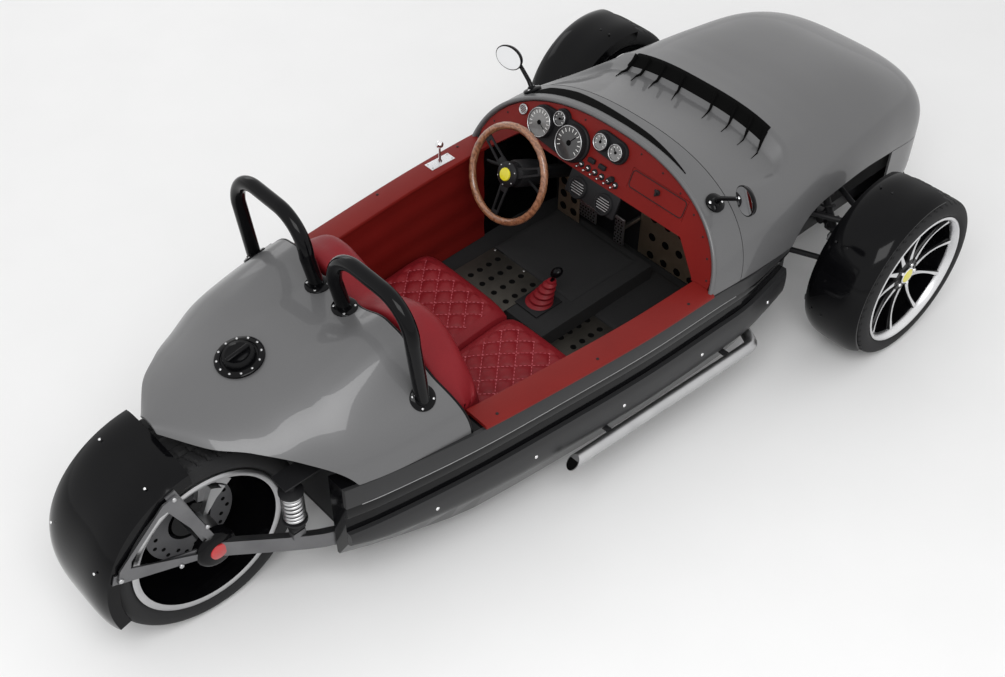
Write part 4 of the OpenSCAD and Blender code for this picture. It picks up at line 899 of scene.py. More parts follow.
# %% Front discs and caps
disc_rim = [(100, -42), (150, -42), (150, -37), (146, -36), (146, -26), (150, -25), (150, -20), (100, -20)]
brake_disc = joined([around(disc_rim, 72), bow(60, 100, -42, -20, 48)])
front_pair("brake_disc", brake_disc, steel, "wheel", sharp=30)
hub_cap = around([(0, 70), (27, 70), (28, 73), (26, 76), (0, 77.5)], 40)
front_pair("hub_cap", hub_cap, cap_yellow, "wheel")
cap_ring = around([(27.5, 69), (34, 69), (34, 73), (31, 76), (28, 75)], 40)
nuts = studs([(x, 65, z) for x, z, _ in circle(44, 5)], (0, 1, 0), 7.5, 12)
front_pair("cap_ring", joined([cap_ring, nuts]), chrome, "wheel")

# %% [markdown]
# Mudguards are thin crowned shells that turn about the wheel's axle. Their edges are rolled, so a guard
# shows a bright line of reflection along its rim. The inner skirt closes the side towards the car.

# %% Mudguards
FRONT_GUARD_R, REAR_GUARD_R, GUARD_FALL, GUARD_SHEET = 349, 369, 20, 5


def guard(radius, y0, y1, start, end, steps):
    s = np.linspace(-1, 1, 25)
    ys = (y0 + y1) / 2 + s * (y1 - y0) / 2
    crown = [(radius - GUARD_FALL * abs(k) ** 4, y) for k, y in zip(s, ys)]
    under = [(r - GUARD_SHEET, y) for r, y in crown[::-1]]
    edge = [(radius - 24, y1 + 0.5), (radius - 29, y1 - 1), (radius - 29, y1 - 5)]
    skirt = [(radius - 27, y0 + 5), (radius - 58, y0 + 5), (radius - 60, y0 + 2.5), (radius - 58, y0)]
    return around(crown + edge + under[1:-1] + skirt, steps, start, end)


def crown_bolts(radius, ys, angles):
    """Bolts on the crown of a guard, each along its own radius."""
    shapes = []
    for a in np.radians(angles):
        out = np.array((math.cos(a), 0, math.sin(a)))
        shapes.append(studs([radius * out + (0, y, 0) for y in ys], out, 4.5, 3.5))
    return joined(shapes)


front_guard = guard(FRONT_GUARD_R, -126.5, 100.5, 78, 214, 90)
front_pair("mudguard", front_guard, gloss_black, "knuckle", "front_fender")
front_bolts = crown_bolts(FRONT_GUARD_R, (-88, -40), (100, 142, 190))
front_pair("guard_bolts", front_bolts, matt_black, "knuckle")
piece("mudguard_rear", at_rear(guard(REAR_GUARD_R, -164.5, 164.5, 94, 196, 80)), gloss_black,
      replaces=["rear_fender"])
piece("guard_bolts_rear", at_rear(crown_bolts(REAR_GUARD_R, (-120, 120), (112, 158))), chrome)

# %% [markdown]
# Over each front disc sits a brake caliper on a bracket of the upright. It is a clamp of two plates and a
# bridge, so that the disc passes through it without touching.

# %% Calipers
caliper = joined([bow(92, 150, -58, -46, 14, 152, 198), bow(92, 150, -16, -5, 14, 152, 198),
                  bow(154, 168, -58, -5, 14, 152, 198), bow(20, 150, -74, -56, 8, 166, 184)])
front_pair("caliper", caliper, cast, "knuckle")

# %% [markdown]
# The rear wheel is open to the right, where the arm carries it. Its barrel
# is black with a bright lip, and the dish that closes it on the far side is
# plain. A brake disc with drilled holes sits on its hub, under a caliper.

# %% Rear rim
WIDE, DISH_Y, DISC_Y = REAR_TYRE_W / 2, 85.5, -30
REAR_LIP_R, REAR_LIP_DEEP, HOLES, HOLE_AT, HOLE_STEP = 235, 13, 24, 118, 14
REAR_BARREL = [(236, -WIDE + 4), (243, -WIDE + 1.5), (250, -WIDE + 0.5), (257, -WIDE + 4), (257, -WIDE + 12),
               (245, -WIDE + 14), (245, WIDE - 14), (257, WIDE - 12), (257, WIDE - 4), (236, WIDE - 4)]
dish = around([(238, DISH_Y - 26), (238, DISH_Y - 4), (180, DISH_Y - 10), (90, DISH_Y - 2), (60, DISH_Y),
               (0, DISH_Y), (0, 62), (60, 62), (90, DISH_Y - 26)], 72)
rear_rim = joined([around(REAR_BARREL, 96), dish, bow(26.4, 62, DISC_Y, 62, 48)])


def rear_lip(face):
    x, y, z = in_mm(face.center)
    return int(math.hypot(x + WHEELBASE, z - REAR_R) > REAR_LIP_R and abs(y) > WIDE - REAR_LIP_DEEP)


piece("rear_rim_barrel", at_rear(rear_rim), [gloss_black, steel], "rear_wheel", ["rear_rim"],
      35, rear_lip)
piece("rear_brake_disc", at_rear(bow(74, 150, DISC_Y, -8, 72)), cast, "rear_wheel")
clamp = joined([bow(94, 150, -62, -40, 12, 36, 76), bow(94, 150, 2, 22, 12, 36, 76),
                bow(156, 178, -62, 22, 12, 36, 76), bow(30, 150, -80, -60, 8, 48, 64),
                bow(20, 52, -150, -60, 10, 30, 80)])
piece("rear_caliper", at_rear(clamp), steel)
# The drilled holes are near-black discs on the disc's face: painted shade.
drilled = turned_up([(7, 0), (7, 0.6), (5, 1.0)], 14)
disc_holes = [about_y(set_on(drilled, (HOLE_AT + HOLE_STEP * (k % 2), DISC_Y - 0.2, 0), (0, -1, 0)),
                      360 / HOLES * k) for k in range(HOLES)]
piece("rear_disc_holes", at_rear(joined(disc_holes)), shade_and_plain_black, "rear_wheel")

# %% [markdown]
# On the right of the rear wheel the arm ends in a black boss with a plain red
# cap, and a grey forked bracket runs from it to the mudguard. The bracket is
# cut from plate, so it is an outline with a window, given thickness.

# %% Hub and bracket
FORK = [(84, 56), (104, 324), (112, 330), (152, 330), (160, 324), (180, 56)]
WINDOW = [(108, 62), (113, 296), (118, 303), (146, 303), (151, 296), (156, 62)]
FORK_BOLTS = [(106, 318), (158, 318), (96, 120), (168, 120)]
FORK_OUT, FORK_IN = -176.5, -170.2


def reach(angle, r):
    """A place beside the rear wheel, by angle and distance from its axle."""
    return -WHEELBASE + r * math.cos(math.radians(angle)), REAR_R + r * math.sin(math.radians(angle))


def plate(outline, window, y0, y1):
    """A flat plate between two Y values, from an outline and a window of as many points."""
    shapes = []
    for k in range(len(outline)):
        ends = [(outline[j], window[j]) for j in (k, (k + 1) % len(outline))]
        shapes.append(slab(*([[(x, y, z) for x, z in end] for end in ends] for y in (y0, y1))))
    return joined(shapes)


fork = plate([reach(*p) for p in FORK], [reach(*p) for p in WINDOW], FORK_OUT, FORK_IN)
piece("guard_bracket", fork, arm_grey, sharp=30)
fork_bolts = [(x, FORK_OUT, z) for x, z in (reach(*p) for p in FORK_BOLTS)]
piece("guard_bracket_bolts", studs(fork_bolts, (0, -1, 0), 8, 6), steel)
boss = around([(0, -188), (50, -188), (60, -184), (68, -175), (70, -166), (70, -150), (0, -150)], 64)
piece("hub_boss", at_rear(boss), gloss_black)
red_cap = around([(0, -193), (24, -193), (28, -191), (29, -187.5), (0, -187.5)], 40)
piece("hub_red_cap", at_rear(red_cap), cap_red)

# %% [markdown]
# The coil-over between arm and shield has a bright wound spring on a black damper. A helix path and the pipe
# helper make the spring, and its turns draw together towards both ends. The damper with its cups is turned.

# %% Rear coil-over
COIL_TURNS, COIL_R, COIL_WIRE, COIL_END, PER_TURN, CLOSE_SHARE, EYE = 7, 30, 5.2, 64, 26, 0.35, 16
lo, hi = (in_mm(corner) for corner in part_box("rear_shock"))
shock_x, shock_y, _ = (lo + hi) / 2
tall = hi[2] - lo[2]
turns = np.linspace(0, 2 * math.pi * COIL_TURNS, PER_TURN * COIL_TURNS)
share = np.linspace(0, 1, len(turns))
climb = COIL_END + (tall - 2 * COIL_END) * (CLOSE_SHARE * soft_step(share) + (1 - CLOSE_SHARE) * share)
coil = pipe(np.stack([COIL_R * np.cos(turns), COIL_R * np.sin(turns), climb], 1), COIL_WIRE, 12)
shock_at = (shock_x, shock_y, lo[2])
piece("rear_spring", moved(coil, shift=shock_at), steel, replaces=["rear_shock"])
cup = [(16, EYE), (16, 44), (38, 52), (38, 59), (12, 60)]
stem = turned_up(cup + [(r, tall - z) for r, z in cup[::-1]], 28)
eyes = [pipe([(-22, 0, z), (22, 0, z)], EYE, 24) for z in (EYE, tall - EYE)]
piece("rear_damper", moved(joined([stem] + eyes), shift=shock_at), matt_black)

# %% [markdown]
# The sides, from the top down: a charcoal band with a thin bright line, a
# steel strip that is a painted highlight, black below that line, and a dark
# rocker that bulges over the pipe. Each is a strip along the same stations,
# so their edges follow one another.

# %% Bands and rockers
LINE_SHARE, LINE_HALF, LINE_FROM, LINE_TO = 0.36, 1.2, 22, 118
BAND_SHARES = (1, 0.96, LINE_SHARE, 0.04, 0)
BAND_ROUND, BACK_GAP = 1.6, 0.5
ROCKER = [[1, 0.2], [0.8, 0.9], [0.45, 1], [0.2, 0.5], [0, -0.9]]
ROCKER_OUT, SCREW_SHARE = 10, 0.55
side_xs = np.linspace(SIDE_FRONT, SIDE_REAR, 121)
rocker_u = np.linspace(0, len(ROCKER) - 1, 17)


def band_z(x, k):
    """The height of a share of the band, from its foot (0) to its top (1)."""
    return side_line(2, x) * SILL + k * (side_line(1, x) - side_line(2, x)) * SILL


def under_line(face):
    x, _, z = in_mm(face.center)
    return int(z < band_z(x, LINE_SHARE))


def rocker_z(x, k):
    return (side_line(4, x) + k * (side_line(3, x) - side_line(4, x))) * SILL


def rocker_row(x, outer):
    return [(x, plan_w(x) + (through(ROCKER, 1, u) * ROCKER_OUT if outer else BACK_GAP - BAND),
             rocker_z(x, through(ROCKER, 0, u))) for u in rocker_u]


band_out = [[(x, plan_w(x) - (BAND_ROUND if k in (0, 1) else 0), band_z(x, k)) for k in BAND_SHARES]
            for x in side_xs]
band_in = [[(x, plan_w(x) - BAND + BACK_GAP, band_z(x, k)) for k in BAND_SHARES] for x in side_xs]
piece("side_band", both(slab(band_out, band_in)), [band_grey, gloss_black],
      replaces=["side_bands"], by_face=under_line)
# A thin steel strip stands for the highlight where the charcoal meets the black: a painted highlight.
line_out, line_in = ([[(x, plan_w(x) + d, band_z(x, LINE_SHARE) + h) for h in (LINE_HALF, -LINE_HALF)]
                      for x in side_xs[LINE_FROM:LINE_TO]] for d in (1.0, -0.4))
piece("band_highlight_line", both(slab(line_out, line_in)), steel)
rocker = slab([rocker_row(x, True) for x in side_xs], [rocker_row(x, False) for x in side_xs])
piece("rocker", both(rocker), band_grey, replaces=["rockers"])
rocker_screws = [(x, plan_w(x) + ROCKER_OUT, rocker_z(x, SCREW_SHARE))
                 for x in (-520, -880, -1242, -1604, -1966)]
piece("rocker_screws", both(studs(rocker_screws, (0, 1, 0), 7, 4)), chrome)

# %% [markdown]
# A padded red cap lies on each sill, held by three dark screws. Below it the walls are lined with red panels
# that have shallow pressed ribs. They stand just proud of the inner wall, between the floor and the cap.

# %% Sill caps and wall linings
CAP = [(-2.0, 0), (-2.0, 6), (2, 11), (10, 12.6), (40, 13), (84, 12.6), (93, 10.5), (96, 6), (96, 0)]
CAP_FRONT, CAP_REAR, CAP_SCREW_IN, CAP_TOP = -852, -0.703 * WHEELBASE, 24, 13.6
RIBS, RIB_DEEP, LINING_PROUD, LINING_BACK = 4, 1.5, 6.0, 0.6
lining_xs, lining_k = np.linspace(-870, -1806, 61), np.linspace(0, 1, 41)


def cap_row(x):
    """A padded cap: out to the band's face, in over the wall's edge."""
    return [(x, plan_w(x) - d, band_top(x) + EDGE_GAP + h) for d, h in CAP]


def lining_row(x, proud, rib):
    low_z, top_z = FLOOR_TOP + 3, band_top(x) - 6
    return [(x, wall_in(x) - proud - rib * (1 + math.cos(2 * math.pi * RIBS * k)),
             low_z + k * (top_z - low_z)) for k in lining_k]


caps = looped([cap_row(x) for x in np.linspace(CAP_FRONT, CAP_REAR, 91)])
piece("sill_cap", both(caps), red_panel, replaces=["sill_trims"])
cap_screws = [(x, plan_w(x) - CAP_SCREW_IN, band_top(x) + CAP_TOP) for x in (-948, -1343, -1728)]
piece("cap_screws", both(studs(cap_screws, UP, 5, 2.5)), matt_black)
lining = slab([lining_row(x, LINING_PROUD, RIB_DEEP) for x in lining_xs],
              [lining_row(x, LINING_BACK, 0) for x in lining_xs])
piece("wall_lining", both(lining), red_panel)

# %% [markdown]
# The seats are foam under leather. Each cushion is a crowned closed form with a plain roll round its edge
# and a quilted middle. The quilting pulls the cover down along crossing lines, so the height between two
# stitches follows a sine in both directions. The stitches lie in the valleys as short raised threads.

# %% Seat cushions
SEAT_FRONT, SEAT_REAR, SEAT_IN = -0.475 * WHEELBASE, -0.66 * WHEELBASE, 10
SEAT_OUT = float(room_w(SEAT_REAR)) - 16
SEAT_L, SEAT_W = SEAT_FRONT - SEAT_REAR, SEAT_OUT - SEAT_IN
CUSHION_TOP, CUSHION_SLOPE, CUSHION_CROWN, ROLL_X, ROLL_Y, SIDE_BOW = 342, 50, 6, 26, 22, 4
QUILT_X, QUILT_Y, QUILT_DEEP, QUILT_SINK, QUILT_EDGE, QUILT_FADE = 84.0, 78.0, 12, 8, 0.87, 0.05
STITCH, STITCH_STEP, STITCH_LIFT, STITCH_EDGE = (8.6, 2.2, 1.7), 11.0, 2.0, 0.07


def quilt(x, y):
    a, b = x / QUILT_X + y / QUILT_Y, x / QUILT_X - y / QUILT_Y
    return (abs(math.sin(math.pi * a) * math.sin(math.pi * b))) ** 0.6


def cushion_height(i, j):
    """Height at shares i (front to rear) and j (outer side to middle), and how far it is quilted."""
    edge = max(abs(2 * i - 1), abs(2 * j - 1))
    fall = ROLL_X * abs(2 * i - 1) ** 7 + ROLL_Y * abs(2 * j - 1) ** 7
    z = CUSHION_TOP - CUSHION_SLOPE * i - fall + CUSHION_CROWN * (1 - edge ** 2)
    inside = soft_step((QUILT_EDGE - edge) / QUILT_FADE)
    return z + inside * (QUILT_DEEP * quilt(i * SEAT_L, j * SEAT_W) - QUILT_SINK), inside


def cushion():
    shares = np.linspace(0, 1, 121)
    rows = [[(SEAT_FRONT - SEAT_L * i - SIDE_BOW * (2 * j - 1) ** 2 * (1 - 2 * i), SEAT_OUT - SEAT_W * j,
              cushion_height(i, j)[0]) for j in shares] for i in shares]
    return slab(rows, [[(x, y, FLOOR_TOP + 1) for x, y, _ in row] for row in rows])


def stitches():
    """Short threads along the quilting lines."""
    shapes = []
    for sign in (1, -1):
        tilted = flat_turn(block(STITCH, 0.6), math.degrees(math.atan2(sign * QUILT_Y, -QUILT_X)))
        for line in range(-16, 24):
            for x in np.arange(0, SEAT_L, STITCH_STEP):
                y = sign * (line - x / QUILT_X) * QUILT_Y
                i, j = x / SEAT_L, y / SEAT_W
                if not all(STITCH_EDGE < share < 1 - STITCH_EDGE for share in (i, j)):
                    continue
                z, inside = cushion_height(i, j)
                if inside > 0.99:
                    shapes.append(moved(tilted, shift=(SEAT_FRONT - x, SEAT_OUT - y, z + STITCH_LIFT)))
    return joined(shapes)


pads = piece("seat_pads", both(cushion()), red_leather, replaces=["seat_cushions"], sharp=60)
piece("seat_stitches", both(stitches()), thread)

# %% [markdown]
# The seat back is one bench with a hump for each rider. Across the car its top rises and falls, and its
# section is a rounded wedge that rolls back over the bulkhead. A closed smooth curve through seven points
# gives the section. The front has upright channels.

# %% Seat back
BACK = [[-1, 0.73], [-0.86, 0.85], [-0.66, 0.96], [-0.46, 0.985], [-0.26, 0.96], [0, 0.905], [0.26, 0.96],
        [0.46, 0.985], [0.66, 0.96], [0.86, 0.85], [1, 0.73]]
BULK = -0.715 * WHEELBASE
BACK_HALF = float(room_w(BULK)) - 16
CHANNELS, CHANNEL_DEEP, CHANNEL_END = 9, 3.2, 0.9


def closed_curve(points, per):
    points = np.asarray(points, float)
    n = len(points)
    out = []
    for i in range(n):
        p0, p1, p2, p3 = (points[(i + k) % n] for k in (-1, 0, 1, 2))
        for t in np.linspace(0, 1, per, endpoint=False):
            out.append(0.5 * (2 * p1 + (p2 - p0) * t + (2 * p0 - 5 * p1 + 4 * p2 - p3) * t * t
                              + (3 * p1 - p0 - 3 * p2 + p3) * t ** 3))
    return out


def back_ring(u):
    share, top = float(through(BACK, 0, u)), float(through(BACK, 1, u)) * DECK
    pinch = math.sqrt(max(0.02, 1 - abs(share) ** 9))
    tuck = CHANNEL_DEEP * abs(math.sin(share * math.pi * CHANNELS)) ** 0.5 * (abs(share) < CHANNEL_END)
    mid_x, mid_z = BULK + 40, (302 + top) / 2
    ring = [(BULK + 178 + tuck, 304), (BULK + 134 + tuck, 585), (BULK + 94, top - 42), (BULK + 20, top - 2),
            (BULK - 46, top - 14), (BULK + 4, 600), (BULK + 4, 304)]
    return [(mid_x + (x - mid_x) * pinch, share * BACK_HALF, mid_z + (z - mid_z) * (0.9 + 0.1 * pinch))
            for x, z in closed_curve(ring, 8)]


bench = looped([back_ring(u) for u in np.linspace(0, len(BACK) - 1, 141)])
seat_back = piece("seat_bench_back", bench, red_leather, replaces=["seat_back"], sharp=60)

# %% [markdown]
# The dash leans with the cowl hoop. A small frame of three directions lets every gauge and switch be written
# as across, up and out of the plate. The solid dash stays, and gets its gauges, switches and screws here.

# %% Dash frame
HOOP_LEAN = FRONT[-1][5]
LEAN = math.atan(HOOP_LEAN)
DASH_AT = np.array((HOOP_X + SHUT_LINE[0] - HOOP_LEAN * (COWL - SILL), 0, SILL))
ACROSS_DIR, UP_DIR = np.array((0, 1.0, 0)), np.array((math.sin(LEAN), 0, math.cos(LEAN)))
OUT_DIR = -np.cross(ACROSS_DIR, UP_DIR)
DASH_TURN = np.array([ACROSS_DIR, UP_DIR, OUT_DIR]).T
DASH_HALF, DASH_UP = 0.955 * HALF_W, (COWL - SILL) / math.cos(LEAN)


def on_dash(shape, across, up, out=-5.7):
    """Places a shape, drawn with Z towards the riders, on the dash."""
    return moved(shape, DASH_TURN, DASH_AT + across * ACROSS_DIR + up * UP_DIR + out * OUT_DIR)


def dash_share(across, up):
    return across * DASH_HALF, up * DASH_UP


print("dash height along its lean", round(DASH_UP, 1), "mm")

# %% [markdown]
# Five gauges: two large ones, two small ones beside each other, and one above the large pair. Each is a
# turned black tube with a thin bright ring, a face, ticks and a hand. Ticks and hands are blocks, so that
# they catch light as raised marks do. Oval black plates join the gauges that belong together.

# %% Gauges
DIALS = [[0.5, 0.6, 56, 34], [0.375, 0.75, 30, 26], [0.24, 0.585, 64, 38], [0.045, 0.77, 33, 26],
         [-0.08, 0.755, 33, 26]]
PODS = [[2, 0, 70, 62, 14], [4, 3, 41, 41, 12], [1, 1, 36, 36, 12]]
PALE_DIALS, SWEEP, HAND_FIRST, HAND_STEP = (0, 3, 4), (-30, 210), 205, 40
pods, rings, faces_pale, faces_dark, marks, hands = [], [], [], [], [], []
for k, (across, up, r, deep) in enumerate(DIALS):
    at_dial = dash_share(across, up)
    tube = [(r, 0), (r, deep - 5), (r - 1.5, deep - 1), (r - 5, deep), (r - 7, deep - 4)]
    pods.append(on_dash(turned_up(tube, 48), *at_dial))
    rings.append(on_dash(pipe(circle(r - 5, 48, deep), 1.5, 8, True), *at_dial))
    face = turned_up([(0, deep - 4.2), (r - 6, deep - 4.2), (r - 6, deep - 3.2), (0, deep - 3.2)], 40)
    (faces_pale if k in PALE_DIALS else faces_dark).append(on_dash(face, *at_dial))
    tick = block((r * 0.2, 1.4 + r * 0.018, 0.8), 0.2, ((r - 8) * 0.82, 0, deep - 3))
    marks += [on_dash(flat_turn(tick, a), *at_dial) for a in np.linspace(*SWEEP, 13 if r > 40 else 7)]
    pivot = turned_up([(0, deep - 3), (r * 0.16, deep - 3), (r * 0.14, deep - 0.6), (0, deep - 0.4)], 20)
    hand = joined([block((r * 0.62, 2.6, 1.0), 0.4, (r * 0.26, 0, deep - 1.6)), pivot])
    hands.append(on_dash(flat_turn(hand, HAND_FIRST - HAND_STEP * k), *at_dial))


def pod(first, second, r0, r1, deep):
    """A black backing shared by two gauges: an oval plate with rounded ends."""
    p0, p1 = (np.array(dash_share(*DIALS[k][:2])) for k in (first, second))
    way = math.atan2(*(p1 - p0)[::-1])
    edge = [p + r * np.array((math.cos(way + t), math.sin(way + t)))
            for p, r, start in ((p0, r0, 0.5), (p1, r1, -0.5))
            for t in np.linspace(start * math.pi, (start + 1) * math.pi, 17)]
    mid = np.mean(edge, axis=0)
    return on_dash(looped([[(*(mid + (p - mid) * k), z) for p in edge]
                           for k, z in ((1, 0), (1, deep - 3), (0.97, deep))]), 0, 0)


pods += [pod(*row) for row in PODS]
piece("gauge_pods", joined(pods), matt_black, replaces=["instruments"])
piece("gauge_rings", joined(rings), steel)
piece("gauge_faces_pale", joined(faces_pale), dial_pale)
piece("gauge_faces_dark", joined(faces_dark), dial_dark)
piece("gauge_marks", joined(marks), mark_white)
piece("gauge_hands", joined(hands), shade_and_plain_black)

# %% [markdown]
# Under the gauges stand six bright toggles in bezels, two rockers and a knob. A toggle is a short pipe that
# grows towards its end, on a turned nut.

# %% Switches
TOGGLES, TOGGLE_FIRST, TOGGLE_STEP, TOGGLE_UP = 6, 0.14, 0.055, 0.42
bezel = turned_up([(12, 0), (12, 3), (10, 5), (7.4, 5), (7, 2)], 24)
toggle = joined([turned_up([(7, 1), (7, 4), (5, 7), (0, 8)], 20),
                 pipe([(0, 0, 4), (0, -3, 14), (0, -7, 26), (0, -8, 30)], [3.2, 3.6, 5.0, 3.0], 14)])
toggle_row = [dash_share(TOGGLE_FIRST - TOGGLE_STEP * k, TOGGLE_UP) for k in range(TOGGLES)]
piece("toggle_bezels", joined([on_dash(bezel, *p) for p in toggle_row]), matt_black)
piece("toggle_levers", joined([on_dash(toggle, *p) for p in toggle_row]), chrome)
switches = [on_dash(block((30, 17, 14), 3, (0, 0, 5)), *dash_share(a, 0.52)) for a in (0.075, -0.01)]
switches.append(on_dash(turned_up([(11, 0), (11, 10), (9, 15), (0, 16)], 24), *dash_share(-0.1, 0.46)))
piece("dash_switches", joined(switches), matt_black)

# %% [markdown]
# A small round vent sits at the far left of the dash, and screws go round its edge. Below the switches hangs
# a black panel with two larger vents, each a turned ring with bars across.

# %% Vents and screws
VENT_AT = dash_share(0.68, 0.6)
UNDER_VENTS, UNDER_UP, UNDER_OUT, BARS = (62, -62), 54, -10, (-2, -1, 0, 1, 2)
vent = [pipe(circle(17, 32, 5), 3.2, 10, True)]
vent += [block((28 - abs(k) * 4, 2.4, 4), 0.8, (0, 5.5 * k, 4)) for k in BARS]
piece("side_vent", on_dash(joined(vent), *VENT_AT), steel)
edge_screws = [front_point(HOOP_ROW, s, 34.0) for s in np.linspace(-0.93, 0.93, 15)]
screw_places = [DASH_AT + y * ACROSS_DIR + (z - SILL) / math.cos(LEAN) * UP_DIR - 6.0 * OUT_DIR
                for _, y, z in edge_screws]
piece("dash_screws", studs(screw_places, OUT_DIR, 3.6, 2.0), matt_black)
outlet_ring = turned_up([(40, -6), (40, 8), (37, 12), (31, 12), (30, 6), (0, 5)], 40)
under = [on_dash(block((236, 92, 14), 5), 0, 64, -14)]
under += [on_dash(outlet_ring, a, UNDER_UP, UNDER_OUT) for a in UNDER_VENTS]
piece("under_dash", joined(under), matt_black)
bars = joined([block((2 * math.sqrt(29 ** 2 - (9 * k) ** 2), 3, 4), 1, (0, 9 * k, 8)) for k in BARS])
piece("under_dash_bars", joined([on_dash(bars, a, UNDER_UP, UNDER_OUT) for a in UNDER_VENTS]), steel)

# %% [markdown]
# The lid on the right of the dash has a rubber edge and a turn knob. The lid itself is the solid, and these
# two ride on its body, so that they swing with it.

# %% Glovebox lid
DASH_LOW, LID_RIGHT, LID_W, LID_H, LID_UP = 687, -374, 252, 74, 48
LID_MID = (LID_RIGHT + LID_W / 2, (DASH_LOW - SILL) / math.cos(LEAN) + LID_UP + LID_H / 2)


def rounded(w, h, r, per=8):
    """The outline of a rectangle of half sizes w and h with round corners."""
    corners = [(w - r, h - r, 0), (r - w, h - r, 90), (r - w, r - h, 180), (w - r, r - h, 270)]
    return [(x + r * math.cos(math.radians(a + d)), y + r * math.sin(math.radians(a + d)))
            for x, y, a in corners for d in np.linspace(0, 90, per)]


lid_rim = pipe([(x, y, 0.4) for x, y in rounded(120, 31, 13)], 1.6, 8, True)
piece("lid_edge", on_dash(lid_rim, *LID_MID), matt_black, "glovebox_lid")
knob = joined([turned_up([(10, 0), (10, 5), (8, 8), (0, 8.5)], 24), block((7, 24, 9), 3, (0, 0, 11)),
               block((18, 8, 7), 3, (0, 7, 11))])
piece("lid_knob", on_dash(knob, LID_MID[0], LID_MID[1] + 4), matt_black, "glovebox_lid")

# %% [markdown]
# The steering wheel has a varnished wooden rim, three black spokes with long slots and a plain yellow
# button. It is drawn flat, with Z towards the driver, and then set on the column. It turns with its own
# body, and only the shroud with its two stalks stays.

# %% Steering wheel
STEER_AT, SLOPE = np.array((-0.372 * WHEELBASE, 300, 620)), math.radians(24)
STEER_Z = np.array((-math.cos(SLOPE), 0, math.sin(SLOPE)))
STEER_X = np.array((math.sin(SLOPE), 0, math.cos(SLOPE)))
STEER_TURN = np.array([STEER_X, np.cross(STEER_Z, STEER_X), STEER_Z]).T
RIM_STEPS, GRIPS = 120, 18
SPOKE_BAR = [(34, 17, -6), (80, 13.5, -3), (125, 12, -1), (164, 11.5, 0)]


def on_column(shape):
    return moved(shape, STEER_TURN, STEER_AT)


grip_r = [14 - 0.9 * abs(math.sin(GRIPS * t)) for t in np.linspace(0, 2 * math.pi, RIM_STEPS)]
wood_rim = pipe(circle(172, RIM_STEPS), grip_r, 20, True)
piece("wheel_rim", on_column(wood_rim), rim_wood, "steering_wheel", ["steering_wheel"])
spoke_arm = [block((34, 30, 5), 1.5, (52, 0, -5)), block((18, 30, 5), 1.5, (152, 0, 0))]
for way in (-1, 1):
    spoke_arm.append(looped([[(r, way * y - 4, z - 2.5), (r, way * y + 4, z - 2.5),
                              (r, way * y + 3.4, z + 2.5), (r, way * y - 3.4, z + 2.5)]
                             for r, y, z in SPOKE_BAR]))
hub_body = turned_up([(42, -30), (42, -8), (46, -5), (46, 4), (38, 9), (33, 12), (0, 12)], 48)
wheel_arms = [flat_turn(joined(spoke_arm), a) for a in (60, 180, 300)]
piece("wheel_spokes", on_column(joined(wheel_arms + [hub_body])), matt_black, "steering_wheel")
piece("wheel_bolts", on_column(studs(circle(40, 6, 7), UP, 3.2, 2.6)), steel, "steering_wheel")
button = turned_up([(24, 11), (24, 15), (22, 18), (0, 19.5)], 40)
piece("wheel_button", on_column(button), cap_yellow, "steering_wheel")
stalk = pipe([(40, 0, -70), (90, 0, -62), (128, 0, -52), (150, 0, -50)], [6, 5.5, 6.5, 4], 12)
shroud = [turned_up([(30, -200), (44, -180), (50, -120), (50, -42), (44, -34), (30, -33)], 32)]
shroud += [flat_turn(stalk, a) for a in (98, 262)]
piece("column_shroud", on_column(joined(shroud)), matt_black)

# %% [markdown]
# Pedals are sheet metal with punched holes. The holes are dark discs that lie a hair above the plate, joined
# into one mesh; their dark is painted shade, which at this size looks as a real hole would.

# %% Pedals
FIRE_X = -0.19 * WHEELBASE - 6.3
PEDALS = [[212, 316, 90, 70], [48, 326, 48, 124]]
PEDAL_REACH, PUNCH_STEP, PUNCH_EDGE = 114, 14, 10
REARWARD = (-1, 0, 0)


# Near-black discs that stand for holes: painted shade.
def punched(places, radius, normal, height=0.9):
    disc = turned_up([(radius, 0), (radius, height * 0.6), (radius * 0.93, height)], 18)
    return joined([set_on(disc, p, normal) for p in places])


pedal_pads, pedal_holes = [], []
for y, z, w, h in PEDALS:
    pedal_pads.append(block((8, w, h), 3, (FIRE_X - PEDAL_REACH, y, z)))
    pedal_pads.append(block((110, 14, 14), 3, (FIRE_X - 55, y, z)))
    for a in np.arange(PUNCH_EDGE - w / 2, w / 2 - 8, PUNCH_STEP):
        for k, b in enumerate(np.arange(PUNCH_EDGE - h / 2, h / 2 - 8, PUNCH_STEP)):
            pedal_holes.append((FIRE_X - PEDAL_REACH - 4, y + a + 4 * (k % 2), z + b))
piece("pedal_pads", joined(pedal_pads), steel, replaces=["pedals"])
piece("pedal_holes", punched(pedal_holes, 3.6, REARWARD), shade_and_plain_black)

# %% [markdown]
# Bronze kick plates stand in front of the feet, and darker tread plates lie on the floor under the heels. The
# bronze is lightened to make up for the shade where the kick plates stand, as painted light. They are thin
# blocks with the same kind of holes, in rows.

